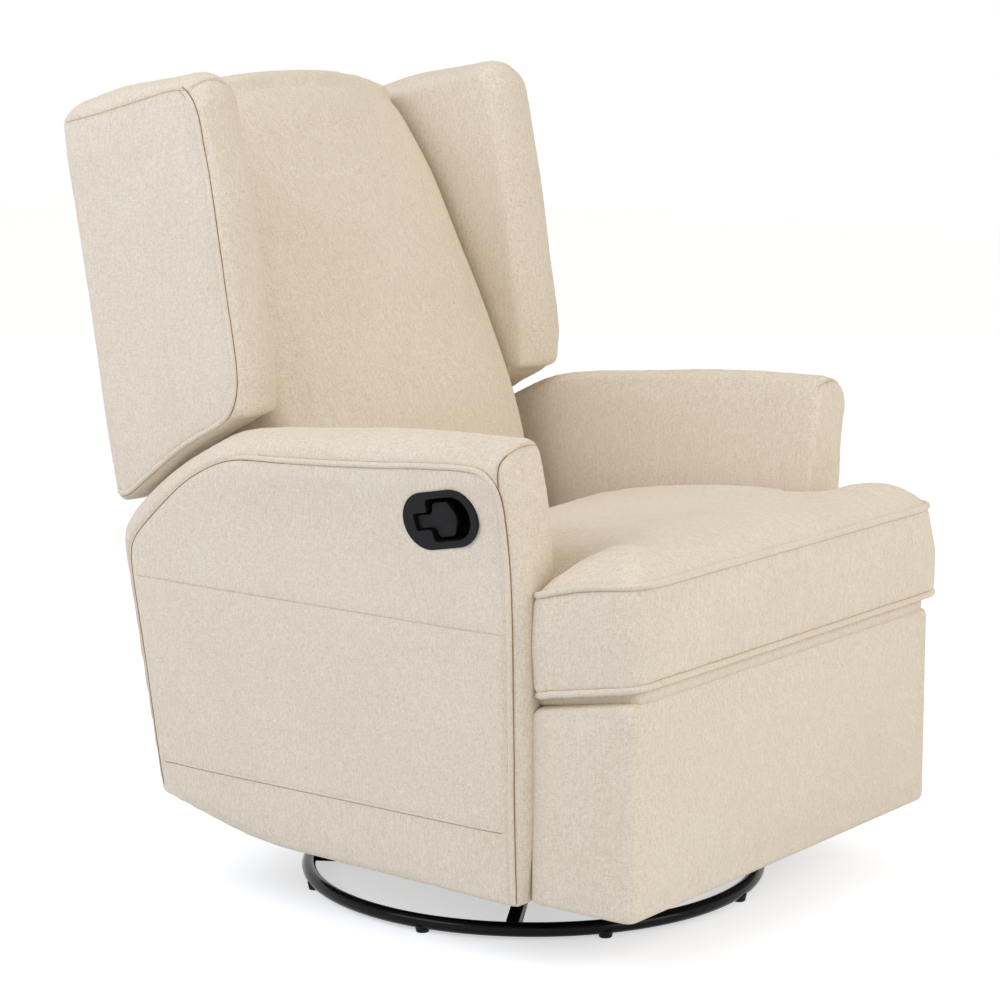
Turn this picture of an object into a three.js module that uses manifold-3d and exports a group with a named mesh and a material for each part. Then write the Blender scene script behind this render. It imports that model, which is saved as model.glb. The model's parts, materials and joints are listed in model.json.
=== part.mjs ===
// A swivel glider recliner with a wing back, flared arms and a T-shaped seat cushion.
// Millimetres. +Z is up, the sitter faces -Y, and the release lever is on the -X side.
// Inside, the floor ring carries a swivel bearing, four hanging links carry the chair,
// and two side plates carry the folding footrest and the reclining back.
import * as THREE from "three";
import { mergeVertices } from "three/addons/utils/BufferGeometryUtils.js";
import Module from "manifold-3d";

const wasm = await Module();
wasm.setup();

// Driving dimensions of the whole chair, measured from the swivel axis and the floor
const swivelAxisY = -52; // the swivel axis in the part's frame, whose origin is mid depth
const armFrontY = -245;
const armInnerX = 285;
const armOuterX = 358;
const armFootZ = 82;
const armTopZ = 637;
const seatFrontY = -403;
const seatRearY = 150;
const seatUndersideZ = 366; // at the front edge
const seatPitch = THREE.MathUtils.degToRad(10.5);
const backLean = THREE.MathUtils.degToRad(9.5);
const backRearY = 409; // rear face of the back at backRearZ
const backRearZ = 503;
const reclineY = 262; // recline pivot
const reclineZ = 300;
const fit = 0.3; // gap left between faces that touch
const layerGap = 0.9; // running gap between neighbouring flat links
const sheetThick = 4; // thickness of the mechanism's plates and links
const overrun = 5; // how far a cutting tool runs past the face it cuts

const sides = [
  { name: "right", sign: -1 },
  { name: "left", sign: 1 },
];

// Finishes
const finish = (color, roughness, metalness) =>
  new THREE.MeshStandardMaterial({ color, roughness, metalness });
const linen = finish(0xddd0ba, 0.95, 0);
const gusset = finish(0xcdbea4, 0.95, 0);
const blackEnamel = finish(0x0c0c0d, 0.2, 0.4);
const darkSteel = finish(0x3b3d40, 0.45, 0.9);
const zincSteel = finish(0x9a9da1, 0.4, 0.95);
const poplar = finish(0xc9a878, 0.7, 0);
const blackNylon = finish(0x18181a, 0.6, 0);
const deckFelt = finish(0x4a4843, 0.95, 0);

const chair = new THREE.Group();
chair.position.y = swivelAxisY;

function add(name, geometry, material, parent = chair) {
  const mesh = new THREE.Mesh(geometry, material);
  mesh.name = name;
  parent.add(mesh);
  return mesh;
}

// Solids from closed geometries, for joins and cuts

function toSolid(geometry) {
  const bare = geometry.clone();
  bare.deleteAttribute("normal");
  bare.deleteAttribute("uv");
  const merged = mergeVertices(bare);
  return new wasm.Manifold(
    new wasm.Mesh({
      numProp: 3,
      vertProperties: merged.attributes.position.array,
      triVerts: new Uint32Array(merged.index.array),
    }),
  );
}

function toGeometry(solid) {
  const mesh = solid.getMesh();
  const geometry = new THREE.BufferGeometry();
  geometry.setAttribute("position", new THREE.BufferAttribute(mesh.vertProperties, 3));
  geometry.setIndex(new THREE.BufferAttribute(mesh.triVerts, 1));
  geometry.computeVertexNormals();
  return geometry;
}

const join = (...geometries) =>
  toGeometry(geometries.map(toSolid).reduce((all, next) => all.add(next)));
const cut = (base, ...tools) =>
  toGeometry(tools.map(toSolid).reduce((left, tool) => left.subtract(tool), toSolid(base)));

// A closed body through rings of points, all with as many points, with a fan at each end.
function loft(rings) {
  const count = rings[0].length;
  const index = [];
  for (let r = 0; r + 1 < rings.length; r++) {
    for (let i = 0; i < count; i++) {
      const a = r * count + i;
      const b = r * count + ((i + 1) % count);
      index.push(a, b, b + count, a, b + count, a + count);
    }
  }
  const points = rings.flat();
  const cap = (start, against) => {
    const heart = new THREE.Vector3();
    for (let i = 0; i < count; i++) heart.addScaledVector(points[start + i], 1 / count);
    points.push(heart);
    for (let i = 0; i < count; i++) {
      const face = [points.length - 1, start + i, start + ((i + 1) % count)];
      index.push(...(against ? face.reverse() : face));
    }
  };
  cap(0, true);
  cap((rings.length - 1) * count, false);
  const geometry = new THREE.BufferGeometry().setFromPoints(points);
  geometry.setIndex(index);
  return outward(geometry);
}

// Turns a closed geometry's faces outwards if they point in.
function outward(geometry) {
  const p = geometry.attributes.position;
  const index = geometry.index.array;
  const [a, b, c] = [new THREE.Vector3(), new THREE.Vector3(), new THREE.Vector3()];
  let volume = 0;
  for (let i = 0; i < index.length; i += 3) {
    a.fromBufferAttribute(p, index[i]);
    b.fromBufferAttribute(p, index[i + 1]);
    c.fromBufferAttribute(p, index[i + 2]);
    volume += a.dot(b.cross(c));
  }
  if (volume < 0) geometry.setIndex(Array.from(index).reverse());
  geometry.computeVertexNormals();
  return geometry;
}

// Flat work in the (y, z) plane: a shape's x runs along the chair's Y, and its y along Z.

const sidewise = new THREE.Matrix4().makeBasis(
  new THREE.Vector3(0, 1, 0),
  new THREE.Vector3(0, 0, 1),
  new THREE.Vector3(1, 0, 0),
);

// innerX is the face nearer the chair's middle, on the side that sign names.
function sidePlate(shape, sign, innerX, thickness, y = 0, z = 0, turn = 0) {
  const startX = sign > 0 ? innerX : -innerX - thickness;
  const geometry = new THREE.ExtrudeGeometry(shape, {
    depth: thickness,
    bevelEnabled: false,
    curveSegments: 10,
  });
  geometry.applyMatrix4(sidewise);
  geometry.rotateX(turn);
  return geometry.translate(startX, y, z);
}

function pinX(radius, fromX, toX, y, z, sides = 16) {
  const pin = new THREE.CylinderGeometry(radius, radius, Math.abs(toX - fromX), sides);
  pin.rotateZ(Math.PI / 2);
  return pin.translate((fromX + toX) / 2, y, z);
}

function box(fromX, toX, fromY, toY, fromZ, toZ) {
  const block = new THREE.BoxGeometry(toX - fromX, toY - fromY, toZ - fromZ);
  return block.translate((fromX + toX) / 2, (fromY + toY) / 2, (fromZ + toZ) / 2);
}

function circle(path, x, y, radius, clockwise = false) {
  path.moveTo(x + radius, y);
  path.absarc(x, y, radius, 0, clockwise ? -2 * Math.PI : 2 * Math.PI, clockwise);
  return path;
}

const hole = (x, y, radius) => circle(new THREE.Path(), x, y, radius, true);

// A straight link with an eye at each end of its length.
function linkShape(length, radius, holeRadii) {
  const shape = new THREE.Shape();
  shape.absarc(0, 0, radius, Math.PI / 2, (3 * Math.PI) / 2, false);
  shape.absarc(length, 0, radius, -Math.PI / 2, Math.PI / 2, false);
  holeRadii.forEach((r, i) => {
    if (r > 0) shape.holes.push(hole(i * length, 0, r));
  });
  return shape;
}

function tubeAlong(curve, section, steps) {
  return new THREE.ExtrudeGeometry(section, { extrudePath: curve, steps, bevelEnabled: false });
}

function roundSection(radius, count) {
  const points = [];
  for (let i = 0; i < count; i++) {
    const a = (2 * Math.PI * i) / count;
    points.push(new THREE.Vector2(radius * Math.cos(a), radius * Math.sin(a)));
  }
  return new THREE.Shape(points);
}

// Padded slab: an outline in (y, z), carried across X through stations that draw its edge in
// and crown its face. weight says how much of a station's crown each point takes.
function paddedSlab(outline, stations, weight) {
  const normals = outline.map((_, i) => {
    const before = outline[(i + outline.length - 1) % outline.length];
    const after = outline[(i + 1) % outline.length];
    return new THREE.Vector2(after.y - before.y, before.x - after.x).normalize();
  });
  return loft(
    stations.map(({ x, inset, crown, shiftY = 0 }) =>
      outline.map((p, i) => {
        const out = crown * weight(p, normals[i]) - inset;
        return new THREE.Vector3(x, p.x + normals[i].x * out + shiftY, p.y + normals[i].y * out);
      }),
    ),
  );
}

const smooth = (value, low, high) => THREE.MathUtils.smoothstep(value, low, high);

// Floor base: a bent tube ring on eight nylon glides, with four spokes to the bearing plate
const ringRadius = 292;
const ringTube = 9; // tube radius
const glideHeight = 4;
const ringZ = glideHeight + ringTube;
const spokeCount = 4;
const glideCount = 8;
const spokePhase = THREE.MathUtils.degToRad(31.7); // how the base happens to stand
const spokeSize = 16;
const ringFacets = 12;
const ringSteps = 56;
const hubRadius = 124;
const hubPlate = 4;
const hubBore = 60;
const hubTopZ = ringZ + spokeSize / 2 + hubPlate;

function ringTorus(grow) {
  const profile = [];
  const radius = ringTube + grow;
  for (let i = 0; i <= ringFacets; i++) {
    const a = (2 * Math.PI * i) / ringFacets;
    profile.push(new THREE.Vector2(ringRadius + radius * Math.cos(a), radius * Math.sin(a)));
  }
  const torus = new THREE.LatheGeometry(profile, ringSteps);
  return torus.rotateX(Math.PI / 2).translate(0, 0, ringZ);
}
add("base_ring", ringTorus(0), blackEnamel);

const hubShape = circle(new THREE.Shape(), 0, 0, hubRadius);
hubShape.holes.push(hole(0, 0, hubBore));
const hub = new THREE.ExtrudeGeometry(hubShape, {
  depth: hubPlate,
  bevelEnabled: false,
  curveSegments: 20,
});
const spokes = [hub.translate(0, 0, hubTopZ - hubPlate)];
for (let i = 0; i < spokeCount; i++) {
  const end = ringRadius - ringTube / 3; // coped to the tube below
  const spoke = box(hubBore, end, -spokeSize / 2, spokeSize / 2, -spokeSize / 2, spokeSize / 2);
  spoke.rotateZ(spokePhase + (i * 2 * Math.PI) / spokeCount);
  spokes.push(spoke.translate(0, 0, ringZ));
}
add("base_spider", cut(join(...spokes), ringTorus(fit)), blackEnamel);

const glideRadius = 10;
const glideTread = 8; // radius where it meets the floor
for (let i = 0; i < glideCount; i++) {
  const a = spokePhase + ((i + 0.5) * 2 * Math.PI) / glideCount;
  const cap = new THREE.CylinderGeometry(glideRadius, glideTread, ringTube, 12);
  cap.rotateX(Math.PI / 2);
  cap.translate(ringRadius * Math.cos(a), ringRadius * Math.sin(a), ringTube / 2);
  add("floor_glide_" + (i + 1), cut(cap, ringTorus(fit)), blackNylon);
}

// Swivel bearing: two pressed races, one on the base and one under the glider's frame
const raceOuter = 118;
const raceInner = 84;
const raceHeight = 9;
const raceLip = 3;
const raceGap = 0.6;
const lowerRaceZ = hubTopZ + fit;
const upperRaceZ = lowerRaceZ + raceHeight + raceGap;

function race(z, flip) {
  const lipOuter = raceOuter - raceLip;
  const lipInner = raceInner + raceLip;
  const web = raceHeight - raceLip;
  const profile = [
    [raceInner, 0],
    [raceOuter, 0],
    [raceOuter, web],
    [lipOuter, raceHeight],
    [lipInner, raceHeight],
    [raceInner, web],
    [raceInner, 0],
  ].map(([r, h]) => new THREE.Vector2(r, flip ? raceHeight - h : h));
  if (flip) profile.reverse();
  const lathe = new THREE.LatheGeometry(profile, 40);
  lathe.rotateX(Math.PI / 2);
  return toGeometry(toSolid(lathe)).translate(0, 0, z);
}
add("bearing_lower_race", race(lowerRaceZ, false), zincSteel);
add("bearing_upper_race", race(upperRaceZ, true), zincSteel);

// Glider frame on the swivel: two cross channels welded between two towered side plates
const pivotSpanY = 110; // hanging links stand this far before and behind the axis
const hangTopZ = 212;
const hangLength = 112;
const hangFootZ = hangTopZ - hangLength;
const pivotPin = 6;
const eyeRadius = 14;
const towerX = 186;
const hangX = towerX + sheetThick + layerGap;
const railWebX = hangX + sheetThick + layerGap;
const frameZ = upperRaceZ + raceHeight + fit;
const channelHeight = 26;
const channelWidth = 40;
const channelY = 62;
const towerWidth = 19; // half, at its foot
const archRise = 52;

const frameParts = [];
for (const front of [-1, 1]) {
  const y = front * channelY;
  const half = channelWidth / 2;
  const wall = sheetThick;
  const outer = box(-towerX, towerX, y - half, y + half, frameZ, frameZ + channelHeight);
  const channel = new THREE.BoxGeometry(
    2 * (towerX - wall),
    channelWidth - 2 * wall,
    channelHeight - wall + overrun,
  );
  channel.translate(0, y, frameZ + (channelHeight + wall + overrun) / 2);
  frameParts.push(cut(outer, channel));
}
for (const { sign } of sides) {
  const tower = new THREE.Shape();
  const foot = pivotSpanY + towerWidth;
  const shoulder = frameZ + channelHeight;
  tower.moveTo(-foot, frameZ);
  tower.lineTo(foot, frameZ);
  tower.lineTo(foot, shoulder);
  tower.lineTo(pivotSpanY + eyeRadius, hangTopZ);
  tower.absarc(pivotSpanY, hangTopZ, eyeRadius, 0, Math.PI, false);
  tower.lineTo(pivotSpanY - towerWidth, shoulder + archRise);
  tower.absellipse(
    0, shoulder + archRise, pivotSpanY - towerWidth, archRise, 0, -Math.PI, true,
  );
  tower.lineTo(eyeRadius - pivotSpanY, hangTopZ);
  tower.absarc(-pivotSpanY, hangTopZ, eyeRadius, 0, Math.PI, false);
  tower.lineTo(-foot, shoulder);
  for (const y of [-pivotSpanY, pivotSpanY])
    tower.holes.push(hole(y, hangTopZ, pivotPin + fit));
  frameParts.push(sidePlate(tower, sign, towerX, sheetThick));
}
add("swivel_frame", join(...frameParts), darkSteel);

// Hanging links, each with its two shouldered pivot pins riveted in
const corners = [
  ["front", -1],
  ["rear", 1],
];
for (const { name, sign } of sides) {
  for (const [end, front] of corners) {
    const y = front * pivotSpanY;
    const bar = sidePlate(
      linkShape(hangLength, eyeRadius, [0, 0]), sign, hangX, sheetThick, y, hangTopZ, -Math.PI / 2,
    );
    const mid = hangX + sheetThick / 2;
    const topPin = pinX(pivotPin, sign * mid, sign * (towerX - fit), y, hangTopZ);
    const footPin = pinX(pivotPin, sign * mid, sign * (railWebX + sheetThick + fit), y, hangFootZ);
    add("glide_link_" + end + "_" + name, join(bar, topPin, footPin), zincSteel);
  }
}

// Chair rails: angles that hang on the links' lower pins, tied by two cross tubes
const railHalf = 215;
const railFootZ = 84;
const railTopZ = 125;
const mechX = 257; // inner face of the side plates
const tieY = 200;
const tieRadius = 10;
const tieZ = railFootZ + tieRadius + sheetThick;

for (const { name, sign } of sides) {
  const web = new THREE.Shape();
  web.moveTo(-railHalf, railFootZ);
  web.lineTo(railHalf, railFootZ);
  web.lineTo(railHalf, railTopZ);
  web.lineTo(-railHalf, railTopZ);
  for (const y of [-pivotSpanY, pivotSpanY])
    web.holes.push(hole(y, hangFootZ, pivotPin + fit));
  const flangeEnd = mechX + sheetThick;
  const flange = box(
    Math.min(sign * railWebX, sign * flangeEnd), Math.max(sign * railWebX, sign * flangeEnd),
    -railHalf, railHalf, railTopZ - sheetThick, railTopZ,
  );
  add("glide_rail_" + name, join(sidePlate(web, sign, railWebX, sheetThick), flange), darkSteel);
}
for (const [end, front] of corners) {
  const reach = railWebX - fit;
  add("tie_tube_" + end, pinX(tieRadius, -reach, reach, front * tieY, tieZ, 14), darkSteel);
}

// Seat frame: everything here stands in a group pitched like the seat, whose y runs back from
// the cushion's front edge and whose z is 0 under the cushion
const seat = new THREE.Group();
seat.position.set(0, seatFrontY, seatUndersideZ);
seat.rotation.x = -seatPitch;
chair.add(seat);
const seatLine = (y) => seatUndersideZ - (y - seatFrontY) * Math.tan(seatPitch);
const alongSeat = (y) => (y - seatFrontY) / Math.cos(seatPitch);

const boardThick = 12;
const railThick = 22;
const railDepth = 54;
const sideRailX = mechX + sheetThick + fit;
const deckThick = 5;
const wireRadius = 1.8;
const lipFront = 28; // set back from the cushion's front edge
const lipHalf = 318;
const armGap = 4; // between the cushion's ears and the arm fronts
const lipRear = alongSeat(armFrontY) + railThick + armGap;
const lipNeck = alongSeat(armFrontY) - armGap;
const frontRailY = lipRear - railThick;
const frontRailHalf = mechX - 2 * (sheetThick + layerGap) - layerGap;
const rearRailBack = 190; // behind the axis
const rearRailY = alongSeat(rearRailBack);
const cushionDeckGap = 0.6;
const boardTop = -cushionDeckGap;

for (const { name, sign } of sides) {
  const near = sign * sideRailX;
  const far = sign * (armInnerX - fit);
  const rail = box(
    Math.min(near, far), Math.max(near, far),
    lipRear + fit, rearRailY + railThick, boardTop - railDepth, boardTop,
  );
  add("seat_side_rail_" + name, rail, poplar, seat);
}
const lip = new THREE.Shape();
const neckHalf = armInnerX - fit;
lip.moveTo(-lipHalf, lipFront);
lip.lineTo(lipHalf, lipFront);
lip.lineTo(lipHalf, lipNeck);
lip.lineTo(neckHalf, lipNeck);
lip.lineTo(neckHalf, lipRear);
lip.lineTo(-neckHalf, lipRear);
lip.lineTo(-neckHalf, lipNeck);
lip.lineTo(-lipHalf, lipNeck);
const lipBoard = new THREE.ExtrudeGeometry(lip, { depth: boardThick, bevelEnabled: false });
add("front_deck_board", lipBoard.translate(0, 0, boardTop - boardThick), gusset, seat);
const frontRailTop = boardTop - boardThick - fit;
const frontRail = box(
  -frontRailHalf, frontRailHalf, frontRailY, lipRear, frontRailTop - railDepth, frontRailTop,
);
add("seat_front_rail", frontRail, poplar, seat);
const rearRailHalf = mechX - fit;
const rearRail = box(
  -rearRailHalf, rearRailHalf, rearRailY, rearRailY + railThick, boardTop - railDepth, boardTop,
);
add("seat_rear_rail", rearRail, poplar, seat);

// Sinuous springs between the rails, under a felt deck pad
const springCount = 4;
const springPitch = 112;
const springSwing = 24;
const springWaves = 7;
const springGap = 0.8; // at each end of a spring
const springTail = 5; // straight length at each end
const springZ = boardTop - deckThick - fit - wireRadius;
for (let s = 0; s < springCount; s++) {
  const x = (s - (springCount - 1) / 2) * springPitch;
  const from = lipRear + springGap;
  const to = rearRailY - springGap;
  const waved = to - from - 2 * springTail;
  const points = [new THREE.Vector3(x, from, springZ)];
  const steps = 8 * springWaves;
  for (let i = 0; i <= steps; i++) {
    const swing = springSwing * Math.sin((2 * Math.PI * springWaves * i) / steps);
    points.push(new THREE.Vector3(x + swing, from + springTail + (i / steps) * waved, springZ));
  }
  points.push(new THREE.Vector3(x, to, springZ));
  const path = new THREE.CatmullRomCurve3(points);
  const wire = tubeAlong(path, roundSection(wireRadius, 5), steps + 2);
  add("seat_spring_" + (s + 1), wire, zincSteel, seat);
}
const deckHalf = rearRailHalf - sheetThick;
const deckPad = box(
  -deckHalf, deckHalf, lipRear + fit, rearRailY - fit, boardTop - deckThick, boardTop,
);
add("seat_deck_pad", deckPad, deckFelt, seat);

// Footrest linkage, in (forward, up) places and angles: two bars each side fold under the seat
const driveForward = 190;
const driveUp = 300;
const drivePivot = { forward: driveForward, up: driveUp };
const driveLength = 190;
const driveStowed = THREE.MathUtils.degToRad(-68);
const elbow = {
  forward: drivePivot.forward + driveLength * Math.cos(driveStowed),
  up: drivePivot.up + driveLength * Math.sin(driveStowed),
};
const boardForward = 318;
const boardUp = 296;
const boardPivot = { forward: boardForward, up: boardUp };
const reachLength = Math.hypot(boardPivot.forward - elbow.forward, boardPivot.up - elbow.up);
const reachStowed = Math.atan2(boardPivot.up - elbow.up, boardPivot.forward - elbow.forward);
const barRadius = 13;
const tripForward = 170;
const tripUp = 232;
const tripPivot = { forward: tripForward, up: tripUp };
const driveX = mechX - layerGap - sheetThick;
const reachX = driveX - layerGap - sheetThick;
const rivet = 5;

// Side plates of the mechanism, standing on the chair rails
const plateHalf = 150;
const plateEdge = 9; // below the deck line
const bossRadius = 18;
const lighteningShares = [-0.55, 0, 0.55]; // of the plate's half length
for (const { name, sign } of sides) {
  const plate = new THREE.Shape();
  const top = (y) => seatLine(y) - plateEdge;
  const foot = railTopZ + fit;
  const noseY = -drivePivot.forward;
  plate.moveTo(-plateHalf, foot);
  plate.lineTo(plateHalf, foot);
  plate.lineTo(plateHalf + bossRadius, foot + railDepth);
  plate.lineTo(reclineY + bossRadius, reclineZ);
  plate.absarc(reclineY, reclineZ, bossRadius, 0, (3 * Math.PI) / 4, false);
  plate.lineTo(seatRearY, top(seatRearY));
  plate.lineTo(noseY + bossRadius, top(noseY + bossRadius));
  plate.absarc(noseY, drivePivot.up, bossRadius - sheetThick, Math.PI / 3, Math.PI, false);
  plate.lineTo(-plateHalf - bossRadius, foot + railDepth);
  plate.holes.push(hole(noseY, drivePivot.up, rivet + fit));
  plate.holes.push(hole(reclineY, reclineZ, rivet + fit));
  if (sign < 0) plate.holes.push(hole(-tripPivot.forward, tripPivot.up, rivet + fit));
  for (const share of lighteningShares)
    plate.holes.push(hole(share * plateHalf, (foot + reclineZ) / 2 - bossRadius, bossRadius));
  add("mechanism_plate_" + name, sidePlate(plate, sign, mechX, sheetThick), darkSteel);
}

// Drive bars with the torque tube between them, and a catch pin on the right one
const tripX = mechX + sheetThick + layerGap;
const catchShare = 0.5; // of the drive bar's length
const catchRadius = 4;
const catchAt = {
  forward: drivePivot.forward + catchShare * driveLength * Math.cos(driveStowed),
  up: drivePivot.up + catchShare * driveLength * Math.sin(driveStowed),
};
const torqueShare = 0.55;
const torqueRadius = 10;
const torque = {
  forward: drivePivot.forward + torqueShare * driveLength * Math.cos(driveStowed),
  up: drivePivot.up + torqueShare * driveLength * Math.sin(driveStowed),
};
const fromFront = (angle) => Math.PI - angle; // an angle above the forward line, turned about +X
for (const { name, sign } of sides) {
  const drive = sidePlate(
    linkShape(driveLength, barRadius, [0, rivet + fit]), sign, driveX, sheetThick,
    -drivePivot.forward, drivePivot.up, fromFront(driveStowed),
  );
  const driveMid = sign * (driveX + sheetThick / 2);
  const drivePin = pinX(
    rivet, driveMid, sign * (mechX + sheetThick), -drivePivot.forward, drivePivot.up,
  );
  const driveParts = [drive, drivePin];
  const catchEnd = sign * (tripX + sheetThick);
  if (sign < 0)
    driveParts.push(pinX(catchRadius, driveMid, catchEnd, -catchAt.forward, catchAt.up));
  add("footrest_drive_bar_" + name, join(...driveParts), zincSteel);
  const reach = sidePlate(
    linkShape(reachLength, barRadius, [0, rivet + fit]), sign, reachX, sheetThick,
    -elbow.forward, elbow.up, fromFront(reachStowed),
  );
  const reachMid = sign * (reachX + sheetThick / 2);
  const reachPin = pinX(rivet, reachMid, sign * (driveX + sheetThick), -elbow.forward, elbow.up);
  add("footrest_reach_bar_" + name, join(reach, reachPin), zincSteel);
}
const torqueReach = driveX - fit;
add(
  "footrest_torque_tube",
  pinX(torqueRadius, -torqueReach, torqueReach, -torque.forward, torque.up, 14),
  darkSteel,
);

// Footrest: a plywood board in an upholstered tray, open at the back where the bars fold in
const footHalf = 328;
const footFootZ = 86;
const footFront = 388; // forward of the axis
const footGap = 2;
const footRear = footGap - armFrontY;
const footTopRear = 320;
const footTopFront = 341;
const boardRear = 336;
const padSide = 32;
const padFoot = 20; // thickness of the tray's lower wall
const padTop = 8; // and of its upper wall at the back
const boardHalf = footHalf - padSide - fit;
const padRound = 12;
const padBow = 8; // of the front face, at the middle

const trayRings = [];
const trayShares = [-1, -0.985, -0.94, -0.5, 0, 0.5, 0.94, 0.985, 1];
for (const share of trayShares) {
  const drawn = padRound * Math.abs(share) ** 24;
  const bow = padBow * (1 - share * share);
  trayRings.push(
    [
      [footRear, footFootZ + drawn],
      [(footRear + footFront) / 2, footFootZ + drawn],
      [footFront - padRound - drawn, footFootZ + drawn],
      [footFront - padRound / 3 - drawn, footFootZ + padRound / 3 + drawn],
      [footFront - drawn + bow / 2, footFootZ + padRound + drawn],
      [footFront - drawn + bow, (footFootZ + footTopFront) / 2],
      [footFront - drawn + bow / 2, footTopFront - padRound - drawn],
      [footFront - padRound / 3 - drawn, footTopFront - padRound / 3 - drawn],
      [footFront - padRound - drawn, footTopFront - drawn],
      [(footRear + footFront) / 2, (footTopRear + footTopFront) / 2 - drawn],
      [footRear, footTopRear - drawn],
      [footRear, (footTopRear + footFootZ) / 2],
    ].map(([forward, up]) => new THREE.Vector3(share * footHalf, -forward, up)),
  );
}
const trayHollow = box(
  -boardHalf - fit, boardHalf + fit,
  -boardRear - boardThick - fit, -footRear + overrun,
  footFootZ + padFoot, footTopRear - padTop,
);
// the reach bars swing out through slots in the tray's upper wall
const slotSide = 2;
const traySlots = sides.map(({ sign }) => {
  const [from, to] = [sign * (reachX - slotSide), sign * (driveX + slotSide - layerGap)];
  return box(
    Math.min(from, to), Math.max(from, to),
    -boardPivot.forward - barRadius - slotSide, -footRear + overrun,
    footTopRear - padTop - overrun, footTopFront + overrun,
  );
});
add("footrest_pad", cut(loft(trayRings), trayHollow, ...traySlots), linen);
const footBoard = box(
  -boardHalf, boardHalf, -boardRear - boardThick, -boardRear,
  footFootZ + padFoot + fit, footTopRear - padTop - fit,
);
add("footrest_board", footBoard, poplar);

const bracketFoot = 150;
const bracketLeaf = 22;
const bracketThick = 3;
for (const { name, sign } of sides) {
  const arm = new THREE.Shape();
  const leafY = -boardRear + fit;
  arm.moveTo(leafY, boardPivot.up - bracketFoot / 2);
  arm.lineTo(-boardPivot.forward + barRadius, boardPivot.up);
  arm.absarc(-boardPivot.forward, boardPivot.up, barRadius, 0, Math.PI * 0.75, false);
  arm.lineTo(leafY, boardPivot.up - barRadius / 2);
  const ear = sidePlate(arm, sign, driveX, sheetThick);
  const leafFrom = sign * (driveX + sheetThick);
  const leafTo = leafFrom - sign * bracketLeaf;
  const leaf = box(
    Math.min(leafFrom, leafTo), Math.max(leafFrom, leafTo),
    leafY, leafY + bracketThick, boardPivot.up - bracketFoot, boardPivot.up - barRadius,
  );
  const reachEdge = sign * (reachX - fit);
  const pin = pinX(
    rivet, sign * (driveX + sheetThick / 2), reachEdge, -boardPivot.forward, boardPivot.up,
  );
  const reachClear = sidePlate(
    linkShape(reachLength, barRadius + layerGap, [0, 0]), sign, reachX, sheetThick + layerGap / 2,
    -elbow.forward, elbow.up, fromFront(reachStowed),
  );
  add("footrest_bracket_" + name, join(ear, cut(leaf, reachClear), pin), zincSteel);
}

// Arms: a section carried back along the arm, flared out at the top, with a crowned roll
const armLength = 562; // along the foot
const armTopLength = 623;
const armHeight = armTopZ - armFootZ;
const armLeanOut = 6;
const flareStartZ = 450;
const flareOuter = 34;
const flareInner = 34;
const rollOuter = 42;
const rollInner = 18;
const rollCrown = 4;
const armEdge = 12;
// foot y, foot z, top y and top z at each station
const armStationShares = [
  [0, 0, 0, 0.978],
  [0.006, 0, 0.006, 0.988],
  [0.02, 0, 0.02, 0.995],
  [0.26, 0.005, 0.26, 0.987],
  [0.54, 0.011, 0.49, 0.968],
  [0.68, 0.016, 0.634, 0.953],
  [0.77, 0.029, 0.722, 0.928],
  [0.845, 0.047, 0.803, 0.877],
  [0.907, 0.063, 0.883, 0.816],
  [0.955, 0.076, 0.955, 0.755],
  [0.985, 0.083, 0.988, 0.728],
  [1, 0.09, 1, 0.7],
];
const armDrawnShares = [1, 0.3, 0, 0, 0, 0, 0, 0, 0, 0, 0.3, 1];
const outerFlatShares = [0, 0.35, 0.7, 1];
const outerFlareShares = [0.3, 0.6, 0.8, 1];
const innerFlareShares = [0.66, 0.33, 0];
const innerFlatShares = [0.5, 0];
const bendShare = 0.8; // of the side's height, where a low station starts to flare
const footDrawnShare = 0.5;
const innerDrawnShare = 0.6;

function armFace(z, base, flare) {
  const lean = (armLeanOut * (z - armFootZ)) / (flareStartZ - armFootZ);
  const rise = Math.max(0, z - flareStartZ) / (armTopZ - flareStartZ);
  return base + (base === armOuterX ? Math.min(lean, armLeanOut) : 0) + flare * rise * rise;
}

function armSection([footY, footZ, topY, topZ], drawn, sign) {
  const lowY = armFrontY + footY * armLength;
  const highY = armFrontY + topY * armTopLength;
  const lowZ = armFootZ + footZ * armHeight + drawn * armEdge * footDrawnShare;
  const highZ = armFootZ + topZ * armHeight;
  const inset = drawn * armEdge;
  const points = [];
  const put = (x, z) => {
    const share = (z - lowZ) / (highZ - lowZ);
    points.push(new THREE.Vector3(sign * x, lowY + (highY - lowY) * share, z));
  };
  const outer = (z) => armFace(z, armOuterX, flareOuter) - inset;
  const inner = (z) => armFace(z, armInnerX, flareInner) + inset * innerDrawnShare;
  const rollZ = highZ - rollOuter;
  const between = (from, to, share) => from + (to - from) * share;
  const bendZ = Math.min(flareStartZ, between(lowZ, rollZ, bendShare));
  const side = (face, from, to, shares) =>
    shares.map((share) => between(from, to, share)).forEach((z) => put(face(z), z));
  side(outer, lowZ, bendZ, outerFlatShares);
  side(outer, bendZ, rollZ, outerFlareShares);
  for (let i = 1; i <= 4; i++) {
    const a = (i / 4) * (Math.PI / 2);
    put(outer(rollZ) - rollOuter * (1 - Math.cos(a)), rollZ + rollOuter * Math.sin(a));
  }
  const rollEnd = highZ - rollInner;
  put((outer(rollZ) - rollOuter + inner(rollEnd) + rollInner) / 2, highZ + rollCrown);
  for (let i = 0; i <= 3; i++) {
    const a = (i / 3) * (Math.PI / 2);
    put(inner(rollEnd) + rollInner * (1 - Math.sin(a)), rollEnd + rollInner * Math.cos(a));
  }
  const innerBend = Math.min(flareStartZ, between(lowZ, rollEnd, bendShare));
  side(inner, innerBend, rollEnd, innerFlareShares);
  side(inner, lowZ, innerBend, innerFlatShares);
  return points;
}

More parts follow.
